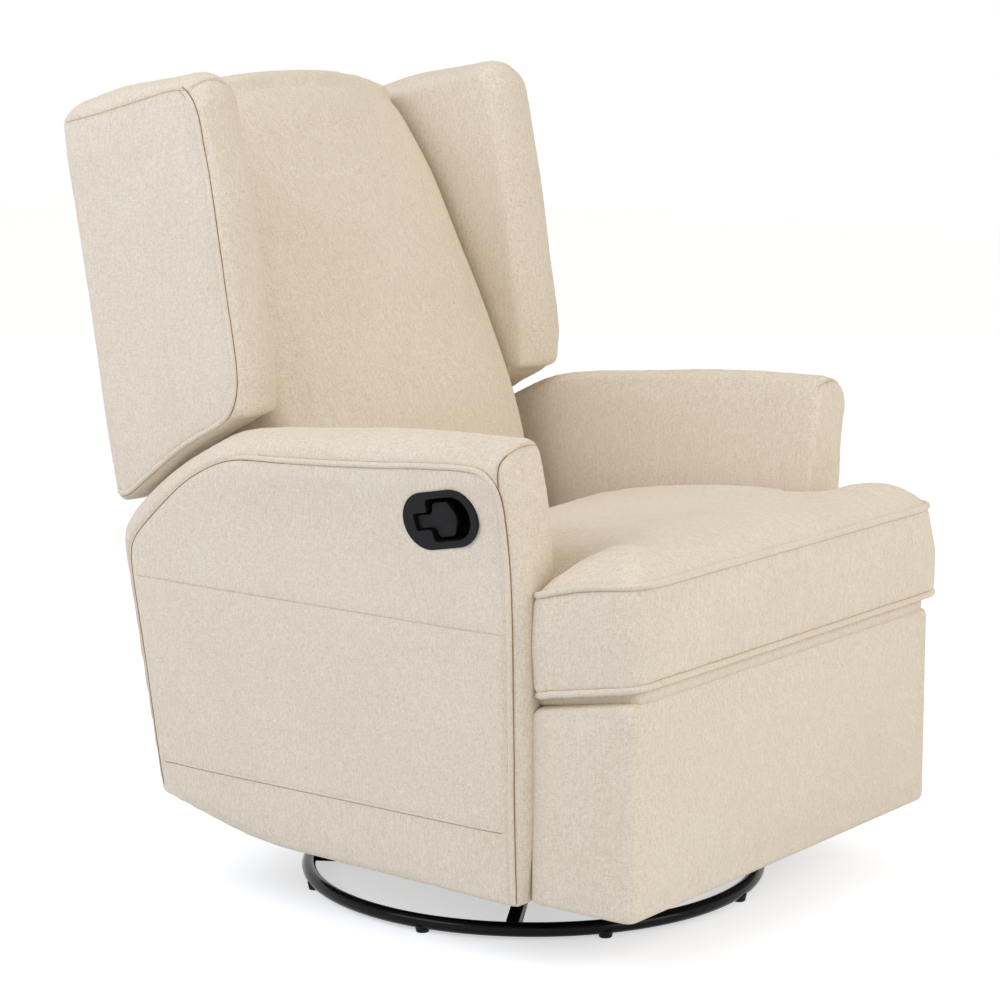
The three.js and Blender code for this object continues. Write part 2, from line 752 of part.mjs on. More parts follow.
const armOf = (sign) =>
  loft(armStationShares.map((station, i) => armSection(station, armDrawnShares[i], sign)));

// Lever cup: an oval tub let into the outside of the right arm, tilted with the flare
const cupY = -142;
const cupZ = 532;
const cupHalfLength = 55;
const cupHalfHeight = 36;
const cupRim = 7;
const cupProud = 4;
const cupDeep = 30;
const cupWall = 2.5;
const cupTilt = THREE.MathUtils.degToRad(9);
const cupX = armFace(cupZ, armOuterX, flareOuter);
const cupFrame = new THREE.Matrix4()
  .makeRotationY(-Math.PI / 2 - cupTilt)
  .multiply(new THREE.Matrix4().makeRotationZ(Math.PI / 2));
cupFrame.setPosition(-cupX, cupY, cupZ);

// In the cup's own plane x runs to the back of the chair, y down and z out of the arm.
function oval(halfLength, halfHeight) {
  const straight = halfLength - halfHeight;
  const shape = new THREE.Shape();
  shape.absarc(-straight, 0, halfHeight, Math.PI / 2, (3 * Math.PI) / 2, false);
  shape.absarc(straight, 0, halfHeight, -Math.PI / 2, Math.PI / 2, false);
  return shape;
}

function ovalBlock(halfLength, halfHeight, fromZ, toZ) {
  const block = new THREE.ExtrudeGeometry(oval(halfLength, halfHeight), {
    depth: toZ - fromZ,
    bevelEnabled: false,
    curveSegments: 8,
  });
  return block.translate(0, 0, fromZ);
}

const wellLength = cupHalfLength - cupRim;
const wellHeight = cupHalfHeight - cupRim;
const headRear = 17; // the wide well ends here, and the slot for the neck goes on
const neckSlotHalf = 11;
const neckSlotRear = 43;
const headRound = 5;

// The opening: a slot for the lever's neck, and a wide well round its head and before it
function teeOpening(grow) {
  const [high, slot] = [wellHeight + grow, neckSlotHalf + grow];
  const [front, rear, end] = [-wellLength - grow, headRear + grow, neckSlotRear + grow];
  const shape = new THREE.Shape();
  shape.moveTo(end, -slot);
  shape.lineTo(end, slot);
  shape.lineTo(rear, slot);
  shape.lineTo(rear, high - headRound);
  shape.quadraticCurveTo(rear, high, rear - headRound, high);
  shape.lineTo(front + high, high);
  shape.absarc(front + high, 0, high, Math.PI / 2, (3 * Math.PI) / 2, false);
  shape.lineTo(rear - headRound, -high);
  shape.quadraticCurveTo(rear, -high, rear, -high + headRound);
  shape.lineTo(rear, -slot);
  return shape;
}

function teeBlock(grow, fromZ, toZ) {
  const block = new THREE.ExtrudeGeometry(teeOpening(grow), {
    depth: toZ - fromZ,
    bevelEnabled: false,
    curveSegments: 10,
  });
  return block.translate(0, 0, fromZ);
}

const cupSolid = join(
  ovalBlock(cupHalfLength, cupHalfHeight, 0, cupProud),
  teeBlock(cupWall, -cupDeep, cupProud / 2),
);
const cupCut = join(
  ovalBlock(cupHalfLength + fit, cupHalfHeight + fit, -fit, cupProud + overrun),
  teeBlock(cupWall + fit, -cupDeep - fit, cupProud),
).applyMatrix4(cupFrame);
const leverPin = 3;
const leverPinAt = 33;
const leverPinZ = -9;
const axleHalf = neckSlotHalf + cupWall / 2;
const leverPinHole = new THREE.CylinderGeometry(
  leverPin + fit, leverPin + fit, 2 * axleHalf + fit, 12,
).translate(leverPinAt, 0, leverPinZ);
const well = teeBlock(0, -cupDeep + cupWall, cupProud + overrun);
const cup = cut(cupSolid, well, leverPinHole);
add("lever_cup", cup.applyMatrix4(cupFrame), blackNylon);

// T-shaped release lever: a hub on the pin, a neck and a wide head with chamfered front corners
const leverThick = 7;
const leverNeckHalf = 9;
const gripFrom = 11;
const gripTo = -28;
const gripClear = 5;
const gripHalf = wellHeight - gripClear;
const gripRound = 5;
const gripChamfer = 12;
const lever = new THREE.Shape();
lever.moveTo(leverPinAt, -leverNeckHalf);
lever.absarc(leverPinAt, 0, leverNeckHalf, -Math.PI / 2, Math.PI / 2, false);
lever.lineTo(gripFrom + gripRound, leverNeckHalf);
lever.quadraticCurveTo(gripFrom, leverNeckHalf, gripFrom, leverNeckHalf + gripRound);
lever.lineTo(gripFrom, gripHalf - gripRound);
lever.quadraticCurveTo(gripFrom, gripHalf, gripFrom - gripRound, gripHalf);
lever.lineTo(gripTo + gripChamfer, gripHalf);
lever.lineTo(gripTo, gripHalf - gripChamfer);
lever.lineTo(gripTo, -gripHalf + gripChamfer);
lever.lineTo(gripTo + gripChamfer, -gripHalf);
lever.lineTo(gripFrom - gripRound, -gripHalf);
lever.quadraticCurveTo(gripFrom, -gripHalf, gripFrom, -gripHalf + gripRound);
lever.lineTo(gripFrom, -leverNeckHalf - gripRound);
lever.quadraticCurveTo(gripFrom, -leverNeckHalf, gripFrom + gripRound, -leverNeckHalf);
const leverBlade = new THREE.ExtrudeGeometry(lever, {
  depth: leverThick,
  bevelEnabled: false,
  curveSegments: 6,
});
leverBlade.translate(0, 0, leverPinZ - leverThick / 2);
const leverAxle = new THREE.CylinderGeometry(leverPin, leverPin, 2 * axleHalf, 12);
leverAxle.translate(leverPinAt, 0, leverPinZ);
add("release_lever", join(leverBlade, leverAxle).applyMatrix4(cupFrame), blackNylon);

// Trip lever outside the right side plate: its toe pushes the catch pin off its rest
const tripRadius = 7;
const tripRest = 4.5; // from the toe to the catch pin at rest
const toCatch = {
  forward: catchAt.forward - tripPivot.forward,
  up: catchAt.up - tripPivot.up,
};
const tripAngle = Math.atan2(toCatch.up, toCatch.forward);
const tripLength = Math.hypot(toCatch.forward, toCatch.up) - catchRadius - tripRest - tripRadius;
const tripPlate = sidePlate(
  linkShape(tripLength, tripRadius, [0, 0]), -1, tripX, sheetThick,
  -tripPivot.forward, tripPivot.up, fromFront(tripAngle),
);
const tripPin = pinX(rivet, -tripX - sheetThick / 2, -mechX, -tripPivot.forward, tripPivot.up);
add("release_trip", join(tripPlate, tripPin), zincSteel);

// Bowden cable, held all the way: from the cup, down inside the arm and in to the trip lever
const cableRadius = 2.5;
const cableExit = 20; // from the cup's middle towards the back
const cableStart = new THREE.Vector3(cableExit, 0, -cupDeep - fit).applyMatrix4(cupFrame);
const cableLead = new THREE.Vector3(cableExit, 0, -cupDeep - 3 * cableRadius);
const cableShare = 0.5; // of the trip lever's length
const cableEnd = new THREE.Vector3(
  -tripX - sheetThick - fit,
  -tripPivot.forward - cableShare * tripLength * Math.cos(tripAngle),
  tripPivot.up + cableShare * tripLength * Math.sin(tripAngle),
);
// the way down inside the arm: x, y and z of the points the sleeve is clipped at
const cableClips = [
  [-319, -117, 505],
  [-316, -120, 460],
  [-315, -132, 390],
  [-314, -152, 320],
  [-308, -172, 272],
  [-296, -183, 242],
  [-282, -187, 226],
];
const cablePath = new THREE.CatmullRomCurve3([
  cableStart,
  cableLead.applyMatrix4(cupFrame),
  ...cableClips.map((clip) => new THREE.Vector3(...clip)),
  cableEnd.clone().add(new THREE.Vector3(-2 * cableRadius, 0, 0)),
  cableEnd,
]);
const cableSteps = 34;
add("release_cable", tubeAlong(cablePath, roundSection(cableRadius, 8), cableSteps), blackNylon);
const cableChannel = tubeAlong(cablePath, roundSection(cableRadius + 2 * fit, 8), cableSteps);

for (const { name, sign } of sides) {
  const arm = sign < 0 ? cut(armOf(sign), cupCut, cableChannel) : armOf(sign);
  add("arm_" + name, arm, linen);
}

// Side pockets: a flat patch sewn to the lower outside of each arm
const pocketTopZ = 403;
const pocketFootZ = 169;
const pocketFrontY = -228;
const pocketRearFootY = 314;
const pocketRearTopY = 349;
const pocketCloth = 3;
for (const { name, sign } of sides) {
  const corner = [
    [pocketFrontY, pocketFootZ],
    [pocketRearFootY, pocketFootZ],
    [pocketRearTopY, pocketTopZ],
    [pocketFrontY, pocketTopZ],
  ];
  const ringAt = (out) =>
    corner.map(([y, z]) => new THREE.Vector3(sign * (armFace(z, armOuterX, 0) + out), y, z));
  add("side_pocket_" + name, loft([ringAt(fit), ringAt(fit + pocketCloth)]), linen);
}

// Seat cushion: T-shaped, its ears standing before the arms, with a crown above the top seam
const cushionSeam = 112;
const cushionCrown = 52;
const earInset = 28; // from the arms' outer faces
const earHalf = armOuterX - earInset;
const cushionGap = 3; // beside the arms
const cushionHalf = armInnerX - cushionGap;
const cushionDrawn = 14;
const cushionBulge = 7;
const cushionRound = 2;
const lowDrawnShare = 0.8;
const highDrawnShare = 0.6;
const undersideShares = [-0.96, -0.4, 0.4, 0.96];
const cushionLength = seatRearY - seatFrontY;
const earShare = (armFrontY - armGap - seatFrontY) / cushionLength;
// share of the length, half width, how far the edges are drawn in, and the share of the crown
const cushionStations = [
  [0, earHalf, 1, 0.1],
  [0.012, earHalf, 0.35, 0.34],
  [0.04, earHalf, 0, 0.6],
  [0.1, earHalf, 0, 0.86],
  [0.19, earHalf, 0, 0.98],
  [earShare - 0.012, earHalf, 0, 1],
  [earShare, earHalf, 0.6, 1],
  [earShare + 0.004, cushionHalf, 0, 1],
  [0.5, cushionHalf, 0, 1],
  [0.72, cushionHalf, 0, 1],
  [0.88, cushionHalf, 0, 0.94],
  [0.96, cushionHalf, 0, 0.78],
  [0.99, cushionHalf, 0.35, 0.5],
  [1, cushionHalf, 1, 0.25],
];
const crossShares = [1, 0.97, 0.88, 0.72, 0.45, 0.15, -0.15, -0.45, -0.72, -0.88, -0.97, -1];

function cushionSection([along, half, drawnShare, crownShare]) {
  const y = seatFrontY + along * cushionLength;
  const base = seatLine(y);
  const drawn = drawnShare * cushionDrawn;
  const a = half - drawn;
  const low = drawn * lowDrawnShare;
  const high = cushionSeam - drawn * highDrawnShare;
  const bulge = half === earHalf ? cushionBulge : 0;
  const points = [];
  const put = (x, h) => points.push(new THREE.Vector3(x, y, base + h));
  for (const share of undersideShares) put(share * a, low);
  put(a - cushionRound, low + cushionDrawn / 2);
  put(a + bulge, (low + high) / 2);
  for (const share of crossShares) {
    const rise = (1 - Math.abs(share) ** 7) ** 0.7;
    put(share * a, high + cushionCrown * crownShare * rise);
  }
  put(-a - bulge, (low + high) / 2);
  put(-a + cushionRound, low + cushionDrawn / 2);
  return points;
}
add("seat_cushion", loft(cushionStations.map(cushionSection)), linen);

// Back, in upright (y, z) outlines: its rear face leans, and the padding tapers to the top
const rearLine = (z) => backRearY + (z - backRearZ) * Math.tan(backLean);
const backPanelThick = 14;
const backFrameThick = 22;
const wingInnerX = 250;
const wingOuterX = 334;
const backFootZ = 140;
const backTopZ = 1003;
const frameFootZ = 300;
const frameTopZ = 955;
const frameFront = backPanelThick + backFrameThick + 2 * fit;

// Frame of the back: a plywood ladder, standing in a group that leans with the back
const back = new THREE.Group();
back.position.set(0, rearLine(frameFootZ) - backPanelThick - fit, frameFootZ);
back.rotation.x = -backLean;
chair.add(back);
const bracketTopZ = 428;
const uprightOuterX = wingInnerX;
const uprightFootX = driveX - fit; // wider at the foot, out to the brackets
const uprightStep = (bracketTopZ + armGap - frameFootZ) / Math.cos(backLean);
const uprightWide = 46;
const frameHeight = (frameTopZ - frameFootZ) / Math.cos(backLean);
const windowShares = [0.1, 0.46, 0.54, 0.92];
const ladder = new THREE.Shape();
ladder.moveTo(-uprightFootX, 0);
ladder.lineTo(uprightFootX, 0);
ladder.lineTo(uprightFootX, uprightStep);
ladder.lineTo(uprightOuterX, uprightStep);
ladder.lineTo(uprightOuterX, frameHeight);
ladder.lineTo(-uprightOuterX, frameHeight);
ladder.lineTo(-uprightOuterX, uprightStep);
ladder.lineTo(-uprightFootX, uprightStep);
for (let i = 0; i < windowShares.length; i += 2) {
  const [low, high] = [windowShares[i] * frameHeight, windowShares[i + 1] * frameHeight];
  const inner = uprightOuterX - uprightWide;
  const window = new THREE.Path();
  window.moveTo(-inner, low);
  window.lineTo(-inner, high);
  window.lineTo(inner, high);
  window.lineTo(inner, low);
  ladder.holes.push(window);
}
const ladderBoard = new THREE.ExtrudeGeometry(ladder, {
  depth: backFrameThick * Math.cos(backLean),
  bevelEnabled: false,
});
ladderBoard.rotateX(Math.PI / 2);
add("back_frame", ladderBoard, poplar, back);

// Brackets that hang the back on the side plates' rear pivots
const bracketInset = 4;
for (const { name, sign } of sides) {
  const shape = new THREE.Shape();
  const frontAt = (z) => rearLine(z) - frameFront + bracketInset;
  const rearAt = (z) => rearLine(z) - backPanelThick - bracketInset;
  const footZ = frameFootZ + barRadius;
  shape.moveTo(rearAt(footZ), footZ);
  shape.lineTo(rearAt(bracketTopZ), bracketTopZ);
  shape.lineTo(frontAt(bracketTopZ), bracketTopZ);
  shape.lineTo(frontAt(footZ + uprightWide), footZ + uprightWide);
  shape.lineTo(reclineY, reclineZ + barRadius);
  shape.absarc(reclineY, reclineZ, barRadius, Math.PI / 2, (3 * Math.PI) / 2, false);
  const leaf = sidePlate(shape, sign, driveX, sheetThick);
  const pin = pinX(
    rivet, sign * (driveX + sheetThick / 2), sign * (mechX + sheetThick), reclineY, reclineZ,
  );
  add("back_bracket_" + name, join(leaf, pin), zincSteel);
}

// Outer back: one upholstered panel from the top to below the seat, crowned to the rear
const outerCrown = 28;
const outerDrawn = 5;
const outerEdge = 4;
const outerWideHalf = 279;
const wingGap = 1.5;
const outerNarrowHalf = wingInnerX - wingGap;
const outerStepZ = 484;
const outerStations = [
  [0, 1], [0.008, 0.3], [0.03, 0], [0.2, 0], [0.39, 0], [0.4, 0], [0.415, 0], [0.6, 0],
  [0.8, 0], [0.95, 0], [0.99, 0.3], [1, 1],
];
const outerCrossShares = [1, 0.96, 0.8, 0.4, 0, -0.4, -0.8, -0.96, -1];
function outerBackSection([along, drawnShare]) {
  const z = backFootZ + along * (backTopZ - backFootZ);
  const half = z < outerStepZ ? outerWideHalf : outerNarrowHalf;
  const drawn = drawnShare * outerDrawn;
  const points = [];
  const frontY = rearLine(z) - backPanelThick + drawn;
  for (const share of [-1, 0, 1])
    points.push(new THREE.Vector3(share * (half - drawn), frontY, z));
  const swell = outerCrown * Math.sin(Math.PI * Math.min(1, 0.1 + along * 0.85)) ** 0.6;
  for (const share of outerCrossShares) {
    const out = swell * (1 - share ** 4) - drawn;
    const edge = Math.abs(share) === 1 ? outerEdge : 0;
    points.push(new THREE.Vector3(share * (half - drawn), rearLine(z) + out - edge, z));
  }
  return points;
}
add("outer_back", loft(outerStations.map(outerBackSection)), linen);

// Inner back cushion, tapering to the top, with a fuller belt that fills in between the arms
const backCushionHalf = wingInnerX - cushionGap;
const backBulge = 27;
const cushionRear = (z) => rearLine(z) - frameFront;
const topRear = (z) => rearLine(z) - backPanelThick - cushionGap;
// share of the depth from seatRearY to backRearY, and share of the height to backTopZ
const backFrontShares = [
  [0.03, 0.0],
  [0.052, 0.1],
  [0.085, 0.2],
  [0.135, 0.3],
  [0.208, 0.39],
  [0.293, 0.47],
  [0.378, 0.54],
  [0.47, 0.611],
  [0.602, 0.704],
  [0.749, 0.811],
  [0.88, 0.898],
  [0.996, 0.965],
  [1.065, 0.994],
];
const backDepth = backRearY - seatRearY;
const backCushionFootZ = frameFootZ;
const backCushionHeight = backTopZ - backCushionFootZ;
const backTopLift = 12;
const backTopRound = 12;
const backTopRise = 7;
const backStepRise = 31; // from the frame's top to where the padding lies on the outer panel
const backStepZ = frameTopZ + backFrameThick * Math.sin(backLean) + cushionGap;
const backWaistZ = 700;
const backEdge = 7;
const bellyFromZ = 440; // the front crown grows between these two heights
const bellyFullZ = 600;
const liftFromZ = 900; // and the top's between these
const liftFullZ = 980;
const backOutline = [
  ...backFrontShares.map(
    ([deep, high]) =>
      new THREE.Vector2(
        seatRearY + deep * backDepth,
        backCushionFootZ + high * backCushionHeight,
      ),
  ),
  new THREE.Vector2(topRear(backTopZ) - 3 * backTopRound, backTopZ + backTopRise),
  new THREE.Vector2(topRear(backTopZ) - backTopRound, backTopZ + backTopRise),
  new THREE.Vector2(topRear(backTopZ), backTopZ),
  new THREE.Vector2(topRear(frameTopZ + backStepRise), frameTopZ + backStepRise),
  new THREE.Vector2(cushionRear(frameTopZ), backStepZ),
  new THREE.Vector2(cushionRear(backWaistZ), backWaistZ),
  new THREE.Vector2(cushionRear(backCushionFootZ), backCushionFootZ),
].reverse();
const backAcross = [-1, -0.985, -0.94, -0.8, -0.5, 0, 0.5, 0.8, 0.94, 0.985, 1];
const backWeight = (p, n) => {
  const belly = Math.max(0, -n.x) * smooth(p.y, bellyFromZ, bellyFullZ);
  const lift = (backTopLift / backBulge) * Math.max(0, n.y);
  return belly + lift * smooth(p.y, liftFromZ, liftFullZ);
};
const backMain = paddedSlab(
  backOutline,
  backAcross.map((share) => ({
    x: share * backCushionHalf,
    inset: backEdge * Math.abs(share) ** 30,
    crown: backBulge * (1 - Math.abs(share) ** 2.4),
  })),
  backWeight,
);
const beltHalf = armInnerX - armGap;
const beltEdge = 5;
const beltOutline = [
  [0.12, 0.222],
  [0.7, 0.222],
  [0.75, 0.28],
  [0.16, 0.28],
].map(
  ([deep, high]) =>
    new THREE.Vector2(seatRearY + deep * backDepth, backCushionFootZ + high * backCushionHeight),
);
const belt = paddedSlab(
  beltOutline,
  [-1, -0.98, 0.98, 1].map((share) => ({
    x: share * beltHalf,
    inset: Math.abs(share) === 1 ? beltEdge : 0,
    crown: 0,
  })),
  () => 0,
);
add("back_cushion", join(backMain, belt), linen);

// Wings: thick padded panels beside the back cushion, cut away below to clear the arms
const wingFrontY = 204;
const wingFootZ = 500;
const wingDepth = 283;
const wingHeight = 510;
const wingOutlineShares = [
  [0.71, 0], [0.537, 0.045], [0.367, 0.12], [0.223, 0.169], [0.099, 0.202], [0.042, 0.227],
  [0.007, 0.263], [0, 0.304], [0.025, 0.4], [0.06, 0.52], [0.099, 0.686], [0.141, 0.8],
  [0.184, 0.912], [0.219, 0.97], [0.269, 0.998], [0.339, 1.002], [0.481, 0.984],
  [0.693, 0.955], [0.869, 0.933], [0.985, 0.916], [0.961, 0.784], [0.887, 0.549],
  [0.806, 0.294], [0.73, 0.03],
];
const wingOutline = wingOutlineShares
  .map(([y, z]) => new THREE.Vector2(wingFrontY + y * wingDepth, wingFootZ + z * wingHeight))
  .reverse();
const wingCrown = 26;
const wingEdge = 6;
const wingFrontShare = 0.5; // how much of the crown the front edge takes
const wingTopShare = 0.62;
const wingSlant = 7; // the inner face stands this much further back
const wingWeight = (p, n) =>
  wingFrontShare + (1 - wingFrontShare) * Math.max(0, n.x, wingTopShare * n.y);
const wingAcross = [0, 0.03, 0.12, 0.3, 0.55, 0.8, 0.95, 1];
for (const { name, sign } of sides) {
  const stations = wingAcross.map((share) => ({
    x: sign * (wingOuterX - share * (wingOuterX - wingInnerX - fit)),
    inset: wingEdge * Math.abs(2 * share - 1) ** 16,
    crown: wingCrown * (1 - Math.abs(2 * share - 1) ** 2),
    shiftY: wingSlant * share,
  }));
  add("wing_" + name, paddedSlab(wingOutline, stations, wingWeight), linen);
}

export default chair;
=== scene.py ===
import json
import math
import bmesh
import bpy
import numpy as np
from mathutils import Matrix, Vector, geometry, kdtree
from mathutils.bvhtree import BVHTree

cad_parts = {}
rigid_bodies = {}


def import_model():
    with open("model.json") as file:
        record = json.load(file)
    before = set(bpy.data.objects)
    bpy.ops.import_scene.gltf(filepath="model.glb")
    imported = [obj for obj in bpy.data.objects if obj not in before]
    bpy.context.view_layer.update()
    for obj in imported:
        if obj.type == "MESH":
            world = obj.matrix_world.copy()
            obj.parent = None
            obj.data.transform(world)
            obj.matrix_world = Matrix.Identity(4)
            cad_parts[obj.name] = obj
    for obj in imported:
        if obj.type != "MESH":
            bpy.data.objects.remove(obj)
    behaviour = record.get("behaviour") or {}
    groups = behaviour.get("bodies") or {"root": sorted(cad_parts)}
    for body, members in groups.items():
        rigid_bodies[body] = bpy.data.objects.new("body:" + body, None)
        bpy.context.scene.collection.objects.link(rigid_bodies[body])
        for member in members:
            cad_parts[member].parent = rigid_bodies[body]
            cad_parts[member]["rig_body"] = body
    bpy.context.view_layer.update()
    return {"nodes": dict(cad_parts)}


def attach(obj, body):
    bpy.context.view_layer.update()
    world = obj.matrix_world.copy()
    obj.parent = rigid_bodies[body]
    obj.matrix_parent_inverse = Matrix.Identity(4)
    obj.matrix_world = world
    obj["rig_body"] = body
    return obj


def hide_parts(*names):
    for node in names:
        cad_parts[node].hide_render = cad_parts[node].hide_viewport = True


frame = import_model()

# Shapes are drawn in millimetres about the swivel axis, which stands behind the frame's middle
drawing = {"unit": 0.001, "axisY": -52}
sideSigns = {"right": -1, "left": 1}


def placed(points):
    made = np.array(points, float)
    made[..., 1] += drawing["axisY"]
    return made * drawing["unit"]


# small mesh tools

def meshPiece(name, points, faces):
    mesh = bpy.data.meshes.new(name)
    mesh.from_pydata([tuple(p) for p in points], [], faces)
    mesh.validate()
    piece = bpy.data.objects.new(name, mesh)
    bpy.context.scene.collection.objects.link(piece)
    return piece


def tidied(piece, merge=1e-5):
    # merges doubles and turns the faces outwards
    work = bmesh.new()
    work.from_mesh(piece.data)
    bmesh.ops.remove_doubles(work, verts=work.verts, dist=merge)
    bmesh.ops.recalc_face_normals(work, faces=work.faces)
    work.to_mesh(piece.data)
    work.free()
    return piece


def loftPiece(name, rings):
    # a closed body through rings of points, with a fan at each end
    rings = np.array(rings, float)
    count, around = rings.shape[:2]
    points = list(rings.reshape(-1, 3))
    faces = [
        (i * around + j, i * around + (j + 1) % around,
         (i + 1) * around + (j + 1) % around, (i + 1) * around + j)
        for i in range(count - 1) for j in range(around)
    ]
    for start, row in ((0, rings[0]), ((count - 1) * around, rings[-1])):
        points.append(row.mean(0))
        hub = len(points) - 1
        faces += [(hub, start + j, start + (j + 1) % around) for j in range(around)]
    return tidied(meshPiece(name, points, faces), 1e-7)


def applied(piece):
    # turns what the modifiers give into the piece's own mesh
    graph = bpy.context.evaluated_depsgraph_get()
    made = bpy.data.meshes.new_from_object(piece.evaluated_get(graph))
    old = piece.data
    piece.modifiers.clear()
    piece.data = made
    bpy.data.meshes.remove(old)
    return piece


def evenSkin(piece, voxel, smoothing, back=0.85):
    # an even quad skin for cloth: the drawing's facets are smoothed away, its size is kept
    drawn = BVHTree.FromObject(piece, bpy.context.evaluated_depsgraph_get())
    skin = piece.modifiers.new("skin", "REMESH")
    skin.mode = "VOXEL"
    skin.voxel_size = voxel * drawing["unit"]
    skin.adaptivity = 0
    ease = piece.modifiers.new("ease", "SMOOTH")
    ease.factor = 0.5
    ease.iterations = smoothing
    applied(piece)
    points = pointsOf(piece)
    found = np.array([drawn.find_nearest(Vector(p))[0] for p in points])
    movePoints(piece, points + (found - points) * back)
    return piece


def pointsOf(piece):
    flat = np.empty(len(piece.data.vertices) * 3, np.float32)
    piece.data.vertices.foreach_get("co", flat)
    return flat.reshape(-1, 3).astype(float)


def normalsOf(piece):
    flat = np.empty(len(piece.data.vertices) * 3, np.float32)
    piece.data.vertex_normals.foreach_get("vector", flat)
    return flat.reshape(-1, 3).astype(float)


def movePoints(piece, points):
    piece.data.vertices.foreach_set("co", points.astype(np.float32).ravel())
    piece.data.update()


def smoothStep(value, low, high):
    share = np.clip((np.asarray(value, float) - low) / (high - low), 0, 1)
    return share * share * (3 - 2 * share)


def spline(points, step, closed=False):
    # an even run of points on a smooth curve through the given ones
    points = np.array(points, float)
    count = len(points)
    spans = count if closed else count - 1
    at = lambda i: points[i % count] if closed else points[min(max(i, 0), count - 1)]
    fine = []
    for i in range(spans):
        before, here, after, beyond = at(i - 1), at(i), at(i + 1), at(i + 2)
        gap = np.linalg.norm(after - here) + 1e-9
        lead = np.linalg.norm(here - before) + 1e-9
        tail = np.linalg.norm(beyond - after) + 1e-9
        slopeIn = (after - before) / (lead + gap) * gap
        slopeOut = (beyond - here) / (gap + tail) * gap
        for k in range(16):
            t = k / 16
            fine.append(
                (2 * t**3 - 3 * t**2 + 1) * here + (t**3 - 2 * t**2 + t) * slopeIn
                + (3 * t**2 - 2 * t**3) * after + (t**3 - t**2) * slopeOut
            )
    fine.append(at(0) if closed else points[-1])
    return evenRun(fine, step, closed)


def evenRun(points, step, closed=False):
    points = np.array(points, float)
    lengths = np.r_[0, np.cumsum(np.linalg.norm(np.diff(points, axis=0), axis=1))]
    count = max(2, int(round(lengths[-1] / step)))
    want = np.linspace(0, lengths[-1], count + 1)
    if closed:
        want = want[:-1]
    return np.stack([np.interp(want, lengths, points[:, k]) for k in range(points.shape[1])], 1)


def filleted(corners, step):
    # a closed plan outline of (x, y, radius) corners
    run = []
    count = len(corners)
    for i, (x, y, radius) in enumerate(corners):
        here = np.array([x, y], float)
        before = np.array(corners[i - 1][:2], float) - here
        after = np.array(corners[(i + 1) % count][:2], float) - here
        before /= np.linalg.norm(before)
        after /= np.linalg.norm(after)
        half = math.acos(float(np.clip(before @ after, -1, 1))) / 2
        reach = radius / math.tan(half)
        middle = here + (before + after) / np.linalg.norm(before + after) * radius / math.sin(half)
        start, end = here + before * reach - middle, here + after * reach - middle
        turn = math.atan2(start[0] * end[1] - start[1] * end[0], start @ end)
        first = math.atan2(start[1], start[0])
        for k in range(9):
            angle = first + turn * k / 8
            run.append(middle + radius * np.array([math.cos(angle), math.sin(angle)]))
    run.append(run[0])
    return evenRun(run, step, True)


def snapped(piece, path, lift=0, closed=False, easing=6):
    # lays a path on the piece's surface, evens it out and lifts it by so many millimetres
    tree = BVHTree.FromObject(piece, bpy.context.evaluated_depsgraph_get())
    points = np.array(path, float)
    for turn in range(2):
        found = [tree.find_nearest(Vector(p)) for p in points]
        points = np.array([f[0] for f in found])
        for _ in range(easing):
            before, after = np.roll(points, 1, 0), np.roll(points, -1, 0)
            eased = points * 0.5 + (before + after) * 0.25
            if not closed:
                eased[0], eased[-1] = points[0], points[-1]
            points = eased
    normals = np.array([f[1] for f in found])
    for _ in range(4):
        normals = normals + np.roll(normals, 1, 0) + np.roll(normals, -1, 0) if closed else normals
        normals /= np.linalg.norm(normals, axis=1)[:, None]
    return points + normals * np.reshape(lift, (-1, 1)) * drawing["unit"]


def beside(piece, path, aside, towards, lift=0, closed=False):
    # a path on the surface that runs next to another one, on the side that faces a direction
    tree = BVHTree.FromObject(piece, bpy.context.evaluated_depsgraph_get())
    along = np.roll(path, -1, 0) - np.roll(path, 1, 0)
    if not closed:
        along[0], along[-1] = path[1] - path[0], path[-1] - path[-2]
    normals = np.array([tree.find_nearest(Vector(p))[1] for p in path])
    side = np.cross(normals, along)
    side /= np.linalg.norm(side, axis=1)[:, None]
    side *= np.sign(np.sum(side * towards))
    return snapped(piece, path + side * aside * drawing["unit"], lift, closed, 2)


def nearest(piece, path, reach):
    # each vertex's distance to a path and the place on it, in millimetres
    tree = kdtree.KDTree(len(path))
    for i, p in enumerate(path):
        tree.insert(Vector(p), i)
    tree.balance()
    run = np.r_[0, np.cumsum(np.linalg.norm(np.diff(path, axis=0), axis=1))] / drawing["unit"]
    points = pointsOf(piece)
    away = np.full(len(points), 1e3)
    along = np.zeros(len(points))
    low, high = np.min(path, 0) - reach * 0.001, np.max(path, 0) + reach * 0.001
    for i in np.flatnonzero(np.all((points > low) & (points < high), axis=1)):
        _, index, distance = tree.find(Vector(points[i]))
        away[i] = distance / drawing["unit"]
        along[i] = run[index]
    return away, along


def softNoise(value, seed):
    # a smooth wandering number from -1 to 1 for each value
    grain = np.random.default_rng(seed).uniform(-1, 1, 512)
    cell = np.floor(value).astype(int)
    share = smoothStep(value - cell, 0, 1)
    return grain[cell % 512] * (1 - share) + grain[(cell + 1) % 512] * share


def sewIn(piece, paths, spec):
    # pulls the cloth down to a seam and puckers it a little on both sides
    for number, path in enumerate(paths):
        away, along = nearest(piece, path, 4 * spec["reach"])
        valley = spec["depth"] * np.exp(-((away / spec["width"]) ** 2))
        wander = softNoise(along / spec["pitch"], number + 5)
        pucker = spec["pucker"] * wander * (away / spec["reach"]) * np.exp(-away / spec["reach"])
        push = (2.2 * pucker - valley) * drawing["unit"]
        movePoints(piece, pointsOf(piece) + normalsOf(piece) * push[:, None])


